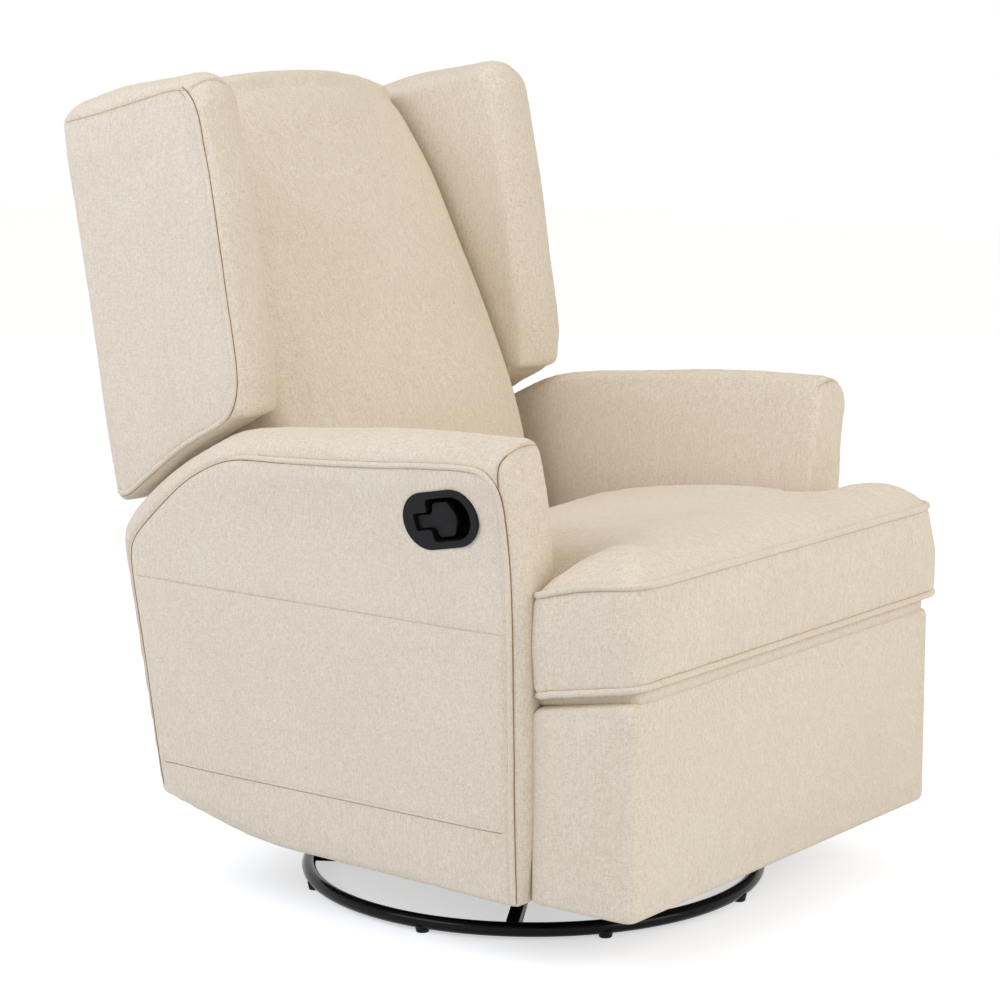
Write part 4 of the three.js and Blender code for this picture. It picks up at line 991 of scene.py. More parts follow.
# along the top: foot y, foot z and top z, as shares
armRows = [
    (0.0, 0.0, 0.0, 0.988), (0.26, 0.26, 0.005, 0.982), (0.49, 0.54, 0.011, 0.96),
    (0.634, 0.68, 0.016, 0.945), (0.722, 0.77, 0.029, 0.925), (0.803, 0.845, 0.047, 0.883),
    (0.883, 0.907, 0.063, 0.829), (0.955, 0.955, 0.076, 0.767), (1.0, 1.0, 0.086, 0.717),
]


def armFace(z, base, flare):
    s = armSpec
    z = np.asarray(z, float)
    lean = np.clip(s["leanOut"] * (z - s["footZ"]) / (s["flareZ"] - s["footZ"]), 0, s["leanOut"])
    rise = np.maximum(0, z - s["flareZ"]) / (s["topZ"] - s["flareZ"])
    return base + (lean if base > 300 else 0) + flare * rise * rise


def armRing(row, inset):
    s = armSpec
    topY, footY, footZ, topZ = row
    height = s["topZ"] - s["footZ"]
    lowY, highY = s["frontY"] + footY * s["length"], s["frontY"] + topY * s["topLength"]
    lowZ, highZ = s["footZ"] + footZ * height + inset * 0.3, s["footZ"] + topZ * height - inset * 0.4
    outer = lambda z: armFace(z, s["outerX"], s["flareOuter"]) - inset
    inner = lambda z: armFace(z, s["innerX"], s["flareInner"]) + inset * 0.12
    rollZ, rollEnd = highZ - s["rollOuter"], highZ - s["rollInner"]
    shape = [(outer(z), z) for z in np.linspace(lowZ, rollZ, 30)]
    for a in np.linspace(0, math.pi / 2, 9)[1:]:
        shape.append((outer(rollZ) - s["rollOuter"] * (1 - math.cos(a)),
                      rollZ + s["rollOuter"] * math.sin(a)))
    start, end = shape[-1][0], inner(rollEnd) + s["rollInner"]
    for k in range(1, 8):
        shape.append((start + (end - start) * k / 8, highZ + s["crown"] * math.sin(math.pi * k / 8)))
    for a in np.linspace(0, math.pi / 2, 7):
        shape.append((inner(rollEnd) + s["rollInner"] * (1 - math.sin(a)),
                      rollEnd + s["rollInner"] * math.cos(a)))
    shape += [(inner(z), z) for z in np.linspace(rollEnd, lowZ, 26)[1:]]
    share = lambda z: (z - lowZ) / (highZ - lowZ)
    return [(x, lowY + (highY - lowY) * share(z), z) for x, z in shape]


def armRings():
    s = armSpec
    rows = np.array(armRows)
    mid = spline(rows, 0.02)
    rings = []
    for reach in (0.0, 0.6, 2, 4.5, 8, s["edge"]):
        inset = s["edge"] - math.sqrt(s["edge"] ** 2 - (s["edge"] - reach) ** 2)
        row = rows[0].copy()
        row[0] = reach / s["topLength"]
        row[1] = reach / s["length"]
        rings.append(armRing(row, inset))
    low, high = s["edge"] / s["topLength"] + 0.01, 1 - s["rearEdge"] / s["topLength"] - 0.005
    rings += [armRing(row, 0) for row in mid if low < row[0] < high]
    for reach in (s["rearEdge"], 5, 2.5, 1, 0.0):
        inset = s["rearEdge"] - math.sqrt(s["rearEdge"] ** 2 - (s["rearEdge"] - reach) ** 2)
        row = rows[-1].copy()
        row[0] -= reach / s["topLength"]
        row[1] -= reach / s["length"]
        row[3] += (1 - row[0]) * 0.8
        rings.append(armRing(row, inset))
    return rings


armWeltLine = [
    (-237, 88), (-236.5, 180), (-236, 300), (-236, 400), (-235.5, 430), (-234.5, 476), (-233, 532),
    (-232.5, 562), (-231, 576), (-225, 588), (-214, 596), (-197, 599), (-183, 599.5), (-144, 597.5),
    (-63, 590), (20, 584), (105, 580), (148, 579.5), (178, 577), (204, 569.5), (230, 558.5),
    (258, 543.5), (302, 508), (340, 474.5), (357, 456), (364, 439), (361, 400), (343, 290), (327, 175),
    (321, 140),
]
# the front panel's top seam: out from the chair's middle, y, z
armFrontSeam = [
    (383, -233.5, 580), (384, -233.5, 598), (384.5, -233.5, 614), (381, -237, 620),
    (371, -241, 623.5), (354, -243.5, 625.5), (334, -244, 625.5), (318, -244, 624), (307, -242, 621.5),
]


def makeArm(side):
    sign = sideSigns[side]
    s = armSpec
    back = s["farBack"] if sign > 0 else 0
    fade = lambda y: back * (1 - smoothStep(y, s["frontY"] + 20, s["frontY"] + 220))
    rings = [[(sign * x, y + fade(y), z) for x, y, z in ring] for ring in armRings()]
    piece = loftPiece("arm_" + side + "_cover", placed(rings))
    evenSkin(piece, s["voxel"], 4)
    line = spline([(y + fade(y), z) for y, z in armWeltLine], 4)
    path = placed([(sign * (armFace(z, s["outerX"], s["flareOuter"]) + 1), y, z) for y, z in line])
    path = snapped(piece, path, 0, False, 3)
    front = placed([(0, s["frontY"] + back, 0)])[0][1]
    rear = lambda p: smoothStep(p[:, 1], front + s["length"] * 0.00085, front + s["length"] * 0.00098)
    puff(piece, {**puffSpec, "cap": s["cap"], "pressure": 3.0}, [path], lambda p: (
        smoothStep(np.abs(p[:, 0]), 0.285, 0.31) * (0.3 + 0.7 * smoothStep(p[:, 2], 0.09, 0.13))
        * (1 - rear(p))
    ))
    points = pointsOf(piece)
    near = np.clip(1 - (points[:, 1] - front) / 0.012, 0, 1)
    high = smoothStep(points[:, 2], 0.085, 0.2) * (1 - smoothStep(points[:, 2], 0.5, 0.63))
    wide = smoothStep(np.abs(points[:, 0]), 0.287, 0.305) * (1 - smoothStep(np.abs(points[:, 0]), 0.34, 0.36))
    points[:, 1] -= near * high * wide * s["panelCrown"] * 0.001
    movePoints(piece, points)
    finer(piece)
    path = snapped(piece, path, 0, False, 3)
    cap = snapped(piece, placed([(sign * x, y + back, z) for x, y, z in spline(armFrontSeam, 4)]), 0, False, 2)
    sewIn(piece, [path], {**seamSpec, "depth": 1.2, "width": 5, "pucker": 0.3})
    sewIn(piece, [cap], {**seamSpec, "depth": 0.8, "width": 4, "pucker": 0.15})
    markSeams(piece, [path, cap], 3.5)
    if sign < 0:
        cutAway(piece, cupBlock("cup_room", -33, 12, 1.2))
    shadeSmooth(piece)
    dressed(piece, "chair", "upholstery", "arm_" + side, fill=0.95)
    # the cord lies in the front and top of the seam and runs out behind, where only a fold is left; the dark
    # lines along it are painted shadow
    corded = path[: int(len(path) * s["corded"])]
    sunk = 1.2 - 6 * smoothStep(np.arange(len(corded)) / len(corded), 0.86, 1.0)
    welt("arm_" + side + "_welt", [(snapped(piece, corded, sunk, False, 3), False)], "chair", s["welt"])
    middle = placed([(sign * s["outerX"], 40, 330)])[0]
    aside = s["welt"] - 0.1
    outside = beside(piece, path, aside, path - middle, 0.25)
    inside = beside(piece, path, aside, middle - path, 0.1)
    corner = int(np.argmin(np.linalg.norm(outside - cap[0], axis=1)))
    reach = [int(len(path) * share) for share in (0.6, 0, 0.57)]
    # painted shadow lines beside the welt, where the seam's shade falls, and along the front panel's top seam
    shadowLine("arm_" + side + "_front_shadow_lines", [(outside[: corner + 1], False)], "chair", 1.0)
    cap = snapped(piece, cap, 0.1, False, 2)
    upright = int(np.argmax(cap[:, 2] > 0.614))
    shadowLine("arm_" + side + "_corner_shadow_line", [(cap[: upright + 1], False)], "chair", 0.75)
    shadowLine("arm_" + side + "_cap_shadow_line", [(cap[upright:], False)], "chair", 0.5, softShadowLineCloth)
    shadowLine("arm_" + side + "_top_shadow_lines", [
        (outside[corner: reach[0]], False), (inside[: reach[2]], False),
    ], "chair", 0.5, softShadowLineCloth)
    shadowLine("arm_" + side + "_rear_shadow_line", [(inside[reach[2] - 1:], False)], "chair", 0.6)
    return piece


# release cup and T lever, drawn in the cup's own plane: x to the rear, y down, z outwards

cupSpec = {
    "y": -142, "z": 532, "halfLength": 55, "halfHeight": 34.5, "rim": 7, "proud": 4, "deep": 29.5,
    "tilt": math.radians(9), "bevel": 1.5, "wall": 2.5, "neckHalf": 10.5, "wellHalf": 26,
    "wellRear": 16, "wellFront": -45.5, "slotRear": 38.5, "pinRoom": 43,
    "aside": (-3.7, -1.8, 0), "turn": math.radians(11),
}
leverSpec = {
    "pinAt": 33, "pinZ": -9, "low": -8, "high": -0.5, "neckHalf": 8.6, "neckEnd": 36.8, "gripFrom": 13,
    "gripTo": -21.5, "gripHalf": 21, "corner": 6, "frontCorner": -13, "middle": 1.0, "rootEnd": 41,
}


def cupMatrix(turned=True):
    # the cup is set in the arm with its front end a little raised, the lever's pin is level
    s = cupSpec
    x = float(armFace(s["z"], 358, 34))
    matrix = Matrix.Rotation(-math.pi / 2 - s["tilt"], 4, "Y") @ Matrix.Rotation(math.pi / 2, 4, "Z")
    spot = placed([(-x, s["y"], s["z"])])[0]
    matrix = Matrix.Translation(Vector(spot)) @ matrix @ Matrix.Scale(drawing["unit"], 4)
    if turned:
        matrix = matrix @ Matrix.Translation(Vector(s["aside"])) @ Matrix.Rotation(s["turn"], 4, "Z")
    return matrix


def ovalLine(halfLength, halfHeight, steps=16):
    straight = halfLength - halfHeight
    line = []
    for centre, first in ((-straight, math.pi / 2), (straight, -math.pi / 2)):
        for k in range(steps + 1):
            a = first + math.pi * k / steps
            line.append((centre + halfHeight * math.cos(a), halfHeight * math.sin(a)))
    return line


def prism(name, line, low, high):
    count = len(line)
    points = [(x, y, low) for x, y in line] + [(x, y, high) for x, y in line]
    faces = [list(range(count))[::-1], list(range(count, 2 * count))]
    faces += [(i, (i + 1) % count, count + (i + 1) % count, count + i) for i in range(count)]
    piece = meshPiece(name, points, faces)
    piece.data.transform(cupMatrix())
    return tidied(piece, 1e-7)


def cupBlock(name, low, high, spare):
    s = cupSpec
    reach = s["rim"] - 2.5 - spare
    return prism(name, ovalLine(s["halfLength"] - reach, s["halfHeight"] - reach), low, high)


def roundedLine(corners, step=1.5):
    return [tuple(p) for p in filleted(corners, step)]


def bevelled(piece, width, segments=3, angle=35):
    edge = piece.modifiers.new("edge", "BEVEL")
    edge.width = width * drawing["unit"]
    edge.segments = segments
    edge.limit_method = "ANGLE"
    edge.angle_limit = math.radians(angle)
    edge.harden_normals = False
    applied(piece)
    return shadeSmooth(piece, 40)


def teeLine(grow):
    # the opening is T-shaped: a slot for the neck, and a wide well round the head and before it
    s = cupSpec
    high, slot = s["wellHalf"] + grow, s["neckHalf"] + grow
    front, rear, end = s["wellFront"] - grow, s["wellRear"] + grow, s["slotRear"] + grow
    return roundedLine([
        (front, -high, high - 1), (rear, -high, 6), (rear, -slot, 3), (end, -slot, 2.5),
        (end, slot, 2.5), (rear, slot, 3), (rear, high, 6), (front, high, high - 1),
    ])


def makeLever():
    s = cupSpec
    face = prism("release_cup", ovalLine(s["halfLength"], s["halfHeight"], 24), -0.6, s["proud"])
    high, far = s["neckHalf"], s["pinRoom"]
    tub = prism("cup_tub", teeLine(s["wall"]), -s["deep"], 1.0)
    end = prism("cup_end", [(10, -high - 2.5), (far + 2.5, -high - 2.5), (far + 2.5, high + 2.5),
                            (10, high + 2.5)], -s["deep"] + 0.5, 0.5)
    for part in (tub, end):
        union = face.modifiers.new("tub", "BOOLEAN")
        union.operation, union.solver, union.object = "UNION", "EXACT", part
        applied(face)
        bpy.data.objects.remove(part)
    room = prism("pin_room", [(20, -high), (far, -high), (far, high), (20, high)],
                 -s["deep"] + 2.5, -2.0)
    cutAway(face, prism("cup_opening", teeLine(0), -s["deep"] + 2.5, 12), room)
    bevelled(face, s["bevel"], 3, 40)
    dressed(face, "chair", "black_nylon", "lever_cup")
    g = leverSpec
    neck, grip, mid = g["neckHalf"], g["gripHalf"], g["middle"]
    outline = roundedLine([(x, y + mid, r) for x, y, r in (
        (g["neckEnd"], -neck, 1.5), (g["neckEnd"], neck, 1.5), (g["gripFrom"], neck, g["corner"]),
        (g["gripFrom"] - 3, grip, g["corner"]), (g["frontCorner"], grip, 5),
        (g["gripTo"], 5, 9), (g["gripTo"], -5, 9), (g["frontCorner"], -grip, 5),
        (g["gripFrom"] - 3, -grip, g["corner"]), (g["gripFrom"], -neck, g["corner"]),
    )])
    blade = prism("release_lever_blade", outline, g["low"], g["high"])
    bevelled(blade, 1.2, 3, 40)
    root = prism("release_lever_root", roundedLine([
        (18, mid - neck, 1.5), (g["rootEnd"], mid - neck, 3), (g["rootEnd"], mid + neck, 3),
        (18, mid + neck, 1.5),
    ]), g["pinZ"] - 4.5, g["low"] + 2)
    bevelled(root, 1.0, 2, 40)
    axle = []
    for k in range(20):
        a = 2 * math.pi * k / 20
        axle.append((g["pinAt"] + 3 * math.cos(a), g["pinZ"] + 3 * math.sin(a)))
    points = [(x, y, z) for y in (-12, 12) for x, z in axle]
    faces = [list(range(20)), list(range(20, 40))]
    faces += [(i, (i + 1) % 20, 20 + (i + 1) % 20, 20 + i) for i in range(20)]
    pin = meshPiece("release_lever_pin", points, faces)
    pin.data.transform(cupMatrix(False))
    tidied(pin, 1e-7)
    shadeSmooth(pin, 40)
    dressed(blade, "release_lever", "black_nylon", "release_lever")
    for part in (root, pin):
        dressed(part, "release_lever", "black_nylon")


arms = {"right": makeArm("right"), "left": makeArm("left")}
makeLever()
print("arms and lever ready")


# padded slabs: a side outline carried across the chair, crowned towards its middle

def slabRings(outline, stations, weight):
    before, after = np.roll(outline, 1, 0), np.roll(outline, -1, 0)
    along = after - before
    normals = np.stack([along[:, 1], -along[:, 0]], 1)
    normals /= np.linalg.norm(normals, axis=1)[:, None]
    area = np.sum(outline[:, 0] * np.roll(outline[:, 1], -1) - np.roll(outline[:, 0], -1) * outline[:, 1])
    if area < 0:
        normals = -normals
    share = weight(outline, normals)
    rings = []
    for x, inset, crown, shift in stations:
        out = crown * share - inset
        ring = outline + normals * out[:, None]
        rings.append(np.c_[np.full(len(ring), x), ring[:, 0] + shift, ring[:, 1]])
    return rings


backSpec = {
    "rearY": 409, "rearZ": 503, "lean": math.tan(math.radians(9.5)), "seatRearY": 150,
    "footZ": 300, "topZ": 1003, "half": 245.5, "bulge": 27, "lift": 12, "voxel": 7.5, "cap": 6.0,
    "edge": 24, "fall": 21,
}
backFrontShares = [
    (0.03, 0.0), (0.052, 0.1), (0.085, 0.2), (0.135, 0.3), (0.208, 0.39), (0.293, 0.47),
    (0.378, 0.54), (0.47, 0.611), (0.602, 0.704), (0.749, 0.811), (0.88, 0.898), (0.996, 0.965),
    (1.065, 0.99),
]


def rearLine(z):
    return backSpec["rearY"] + (z - backSpec["rearZ"]) * backSpec["lean"]


def makeBack():
    s = backSpec
    depth, height = s["rearY"] - s["seatRearY"], s["topZ"] - s["footZ"]
    front = [(s["seatRearY"] + a * depth, s["footZ"] + b * height) for a, b in backFrontShares]
    top = rearLine(s["topZ"]) - 17
    turn = [(top - 52, s["topZ"] + 6), (top - 22, s["topZ"] + 6), (top - 4, s["topZ"] - 3)]
    rear = [(rearLine(z) - 17, z) for z in (985, 975)]
    rear += [(rearLine(z) - 38, z) for z in (966, 900, 700, 500, 320, 303)]
    outline = evenRun(np.vstack([spline(front + turn, 7), spline(rear, 7)]), 7)
    stations = []
    for share in np.r_[-1, -0.997, -0.987, -0.97, np.linspace(-0.95, 0.95, 55), 0.97, 0.987, 0.997, 1]:
        reach = max(0.0, s["edge"] - (1 - abs(share)) * s["half"])
        inset = s["edge"] - math.sqrt(s["edge"] ** 2 - reach**2) if reach else 0
        stations.append((share * s["half"], inset, s["bulge"] * (1 - abs(share) ** 2.4), 0))

    def weight(line, normals):
        belly = np.maximum(0, -normals[:, 0]) * smoothStep(line[:, 1], 440, 600)
        lift = s["lift"] / s["bulge"] * np.maximum(0, normals[:, 1])
        return belly + lift * smoothStep(line[:, 1], 900, 980)

    rings = np.array(slabRings(outline, stations, weight))
    aside = 0.1 + 0.9 * np.abs(rings[..., 0] / s["half"]) ** 2.2
    rings[..., 2] -= s["fall"] * aside * smoothStep(rings[..., 2], 860, 1000)
    piece = loftPiece("back_cushion_cover", placed(rings))
    evenSkin(piece, s["voxel"], 5)
    rear = lambda p: p[:, 1] > (rearLine(p[:, 2] * 1000) - 50 + drawing["axisY"]) * 0.001
    puff(piece, {**puffSpec, "cap": s["cap"]}, [], lambda p: np.where(
        rear(p) & (p[:, 2] < 0.96), 0, 1.0) * (1 - 0.9 * smoothStep(np.abs(p[:, 0]), 0.205, 0.24)))
    finer(piece)
    shadeSmooth(piece)
    dressed(piece, "back", "upholstery", "back_cushion", fill=0.75)
    return piece


wingSpec = {
    "frontY": 204, "footZ": 500, "depth": 283, "height": 510, "innerX": 250.6, "outerX": 333,
    "crown": 26, "edge": 6, "slant": 7, "voxel": 6.0, "cap": 3.5, "welt": 3.4, "square": 9.0,
}
wingShares = [
    (0.712, -0.012), (0.7, -0.018), (0.62, 0.012), (0.514, 0.056), (0.367, 0.119),
    (0.223, 0.167), (0.099, 0.202), (0.042, 0.227),
    (0.007, 0.263), (0, 0.304), (0.025, 0.4), (0.06, 0.52), (0.099, 0.686), (0.141, 0.8),
    (0.182, 0.914), (0.21, 0.977), (0.262, 1.005), (0.339, 1.004), (0.481, 0.984),
    (0.693, 0.955), (0.869, 0.934), (0.98, 0.921), (1.004, 0.915), (1.0, 0.895), (0.961, 0.784), (0.887, 0.549),
    (0.806, 0.294), (0.73, 0.03),
]
wingWeltLine = [
    (410, 503), (404, 495), (376, 515), (336, 544), (300, 569), (270, 586), (238, 602), (221, 613),
    (211.5, 630), (206.5, 655), (212, 704), (222, 759), (233.5, 832), (246.5, 906), (256, 948),
    (262.5, 981), (269, 998), (278, 1007.5), (289, 1013),
]
wingTopSeam = [
    (284, 1011), (300, 1011), (320, 1008), (359, 997), (396, 987.7), (441, 976.3), (486, 966.8),
]
# the seam between the front and the top boxing: out from the chair's middle, y, z
wingFrontSeam = [(333, 277, 1009), (328, 272, 1017), (313, 270, 1021), (300, 270, 1020), (280, 268, 1014)]


def makeWing(side):
    sign = sideSigns[side]
    s = wingSpec
    corners = [(s["frontY"] + y * s["depth"], s["footZ"] + z * s["height"]) for y, z in wingShares]
    outline = spline(corners[::-1], 6, True)
    stations = []
    wide = s["outerX"] - s["innerX"]
    for share in np.r_[0, 0.01, 0.03, 0.06, np.linspace(0.1, 0.9, 17), 0.94, 0.97, 0.99, 1]:
        middle = abs(2 * share - 1)
        reach = max(0.0, s["edge"] - (1 - middle) * wide / 2)
        inset = s["edge"] - math.sqrt(max(0, s["edge"] ** 2 - reach**2)) if reach else 0
        stations.append((
            sign * (s["outerX"] - share * wide), inset * 0.8, s["crown"] * (1 - middle**2),
            s["slant"] * share,
        ))

    def weight(line, normals):
        full = 0.5 + 0.5 * np.maximum(0, np.maximum(normals[:, 0], 0.62 * normals[:, 1]))
        top = np.maximum(0, normals[:, 1])
        full += top * 0.27 * np.exp(-(((line[:, 0] - 410) / 60) ** 2))
        full -= top * 0.12 * np.exp(-(((line[:, 0] - 300) / 30) ** 2))
        return full * (1 - 0.8 * smoothStep(-normals[:, 1], 0.25, 0.75))

    # the lower front corner is round outside, where the welt runs, and square within
    rings = np.array(slabRings(outline, stations, weight))
    near = np.exp(-((np.hypot(outline[:, 0] - 209, outline[:, 1] - 624) / 11) ** 2))
    inward = smoothStep((s["outerX"] - np.abs(rings[:, :1, 0])) / wide, 0.0, 0.14)
    rings[..., 1] -= s["square"] * 0.72 * near * inward
    rings[..., 2] -= s["square"] * 0.69 * near * inward
    piece = loftPiece("wing_" + side + "_cover", placed(rings))
    evenSkin(piece, s["voxel"], 3)
    atFace = lambda line: placed([(sign * (s["outerX"] + 1), y, z) for y, z in spline(line, 4)])
    edge = snapped(piece, atFace(wingWeltLine), 0, False, 4)
    top = snapped(piece, atFace(wingTopSeam), 0, False, 4)
    puff(piece, {**puffSpec, "cap": s["cap"]}, [edge, top], lambda p: (
        0.1 + 0.9 * smoothStep(np.abs(p[:, 0]), 0.252, 0.272)
    ))
    finer(piece)
    edge, top = snapped(piece, edge, 0, False, 4), snapped(piece, top, 0, False, 4)
    front = spline(wingFrontSeam[: 5 if sign < 0 else 3], 4)
    front = snapped(piece, placed([(sign * x, y, z) for x, y, z in front]), 0, False, 3)
    sewIn(piece, [edge], {**seamSpec, "depth": 1.4, "width": 4.5, "pucker": 0.35})
    sewIn(piece, [top, front], {**seamSpec, "depth": 1.2, "width": 3.5, "pucker": 0.2})
    markSeams(piece, [edge, top, front], 3)
    shadeSmooth(piece)
    dressed(piece, "back", "upholstery", "wing_" + side, fill=0.9)
    sunk = 1.0 - 5 * smoothStep(np.arange(len(edge)) / len(edge), 0.955, 1.0)
    welt("wing_" + side + "_welt", [(snapped(piece, edge, sunk, False, 3), False)], "back", s["welt"])
    # painted shadow lines beside the welt and along the top seams
    middle = placed([(sign * s["outerX"], 340, 780)])[0]
    line = beside(piece, edge, s["welt"] + 0.1, edge - middle, 0.2)
    shadowLine("wing_" + side + "_shadow_line", [(line, False)], "back", 0.65)
    inner = beside(piece, edge, s["welt"] - 0.2, middle - edge, 0.05)
    thin = [(snapped(piece, p, 0.05, False, 2), False) for p in (top, front)] + [(inner, False)]
    shadowLine("wing_" + side + "_top_shadow_lines", thin, "back", 0.45, softShadowLineCloth)
    return piece


makeBack()
makeWing("right")
makeWing("left")
print("back and wings ready")


# outer back: one taut panel behind, with a seam down each side

outerSpec = {
    "footZ": 141, "topZ": 1002, "wide": 278, "narrow": 247.5, "stepZ": 484, "thick": 14,
    "crown": 27, "edge": 8, "voxel": 7.5,
}


def makeOuterBack():
    s = outerSpec
    rings = []
    span = s["topZ"] - s["footZ"]
    heights = np.r_[0, 1, 3, np.linspace(8, span - 8, 110), span - 3, span - 1, span]
    for up in heights:
        z = s["footZ"] + up
        reach = max(0, s["edge"] - min(up, span - up))
        inset = s["edge"] - math.sqrt(max(0, s["edge"] ** 2 - reach**2)) if reach else 0
        half = (s["wide"] + (s["narrow"] - s["wide"]) * smoothStep(z, s["stepZ"] - 8, s["stepZ"])) - inset
        swell = s["crown"] * math.sin(math.pi * min(1, 0.1 + up / span * 0.85)) ** 0.6
        front = rearLine(z) - s["thick"] + inset * 0.5
        ring = [(x, front, z) for x in np.linspace(-half, half, 24)]
        for share in np.linspace(1, -1, 41):
            out = swell * (1 - abs(share) ** 4) - inset * 0.6 - 4 * abs(share) ** 30
            ring.append((share * half, rearLine(z) + out, z))
        rings.append(ring)
    piece = loftPiece("outer_back_cover", placed(rings))
    evenSkin(piece, s["voxel"], 3)
    seams = []
    for sign in (-1, 1):
        line = spline([(sign * 205, 400, z) for z in (160, 400, 700, 990)], 5)
        seams.append(snapped(piece, placed([(x, rearLine(z) + 20, z) for x, _, z in line]), 0))
    finer(piece)
    seams = [snapped(piece, path, 0) for path in seams]
    sewIn(piece, seams, {**seamSpec, "depth": 1.5, "width": 3.2, "pucker": 0.3})
    markSeams(piece, seams, 3)
    shadeSmooth(piece)
    dressed(piece, "back", "upholstery", "outer_back", fill=0.95)


# footrest: a soft box front round the plywood board

footSpec = {
    "half": 336, "footZ": 83, "front": 389, "rear": 248, "topRear": 318, "topFront": 342,
    "farWider": 5, "side": 15, "lowRound": 8, "highRound": 9, "bow": 5, "voxel": 6.0, "cap": 3.0, "board": 296.3, "boardRear": 348,
    "wall": 22, "lid": 8, "slotFrom": 244.7, "slotTo": 257.1, "slotFront": 333,
}


def makeFootrest():
    s = footSpec
    rings = []
    for reach in np.r_[0, 0.7, 2, 4, 7, 11, s["side"], np.linspace(26, s["half"], 27)]:
        near = max(0, s["side"] - reach)
        inset = s["side"] - math.sqrt(max(0, s["side"] ** 2 - near**2)) if near else 0
        share = 1 - reach / s["half"]
        bow = s["bow"] * (1 - share**2)
        r, top = s["lowRound"], s["highRound"]
        low, high = s["footZ"] + inset * 0.3, s["topFront"] - inset * 0.3
        front = s["front"] - inset
        ring = [(s["rear"], low), (s["front"] * 0.5 + s["rear"] * 0.5, low)]
        ring += [(front - r + r * math.sin(a), low + r - r * math.cos(a))
                 for a in np.linspace(0, math.pi / 2, 8)]
        ring += [(front + bow * math.sin(math.pi * k / 12), low + r + (high - low - r - top) * k / 12)
                 for k in range(1, 12)]
        ring += [(front - top + top * math.cos(a), high - top + top * math.sin(a))
                 for a in np.linspace(0, math.pi / 2, 8)]
        rear = s["topRear"] - inset * 0.3
        ring += [((front - top) * (1 - k) + s["rear"] * k, high * (1 - k) + rear * k) for k in (0.5, 1)]
        rings.append((s["half"] - reach, ring))
    wider = 1 + s["farWider"] / s["half"]
    whole = [[(-x, -f, z) for f, z in ring] for x, ring in rings]
    whole += [[(x * wider, -f, z) for f, z in ring] for x, ring in rings[-2::-1]]
    piece = loftPiece("footrest_cover", placed(whole))
    evenSkin(piece, s["voxel"], 3)
    puff(piece, {**puffSpec, "cap": s["cap"], "sink": 0.15}, [], lambda p: (
        (1 - smoothStep(p[:, 1], -0.36, -0.3)) * (1 - 0.8 * smoothStep(p[:, 2], 0.31, 0.335))
        * (0.3 + 0.7 * smoothStep(p[:, 2], 0.09, 0.11))
    ))
    finer(piece)
    room = placed([(-s["board"], -s["boardRear"], s["footZ"] + s["wall"] - 3),
                   (s["board"], -s["rear"] + 20, s["topRear"] - s["lid"])])
    tools = [blockPiece("tray_room", room)]
    for sign in (-1, 1):
        low, high = sorted((sign * s["slotFrom"], sign * s["slotTo"]))
        slot = placed([(low, -s["slotFront"], 300), (high, -s["rear"] + 20, 360)])
        tools.append(blockPiece("bar_slot", slot))
    cutAway(piece, *tools)
    shadeSmooth(piece, 50)
    dressed(piece, "footrest_tray", "upholstery", "footrest_pad", fill=0.85)


def blockPiece(name, corners):
    (x0, y0, z0), (x1, y1, z1) = corners
    points = [(x, y, z) for z in (z0, z1) for x, y in ((x0, y0), (x1, y0), (x1, y1), (x0, y1))]
    faces = [(3, 2, 1, 0), (4, 5, 6, 7), (0, 1, 5, 4), (1, 2, 6, 5), (2, 3, 7, 6), (3, 0, 4, 7)]
    return meshPiece(name, points, faces)


makeOuterBack()
makeFootrest()
print("outer back and footrest ready")


# pockets: a patch on each arm with a folded hem, held by short upright rows of stitches

pocketSpec = {
    "frontY": -231, "rearFootY": 320, "rearTopY": 355, "footZ": 172, "topZ": 406, "hem": 27,
    "proud": 0.6, "cloth": 1.5, "tuck": 9.0,
}


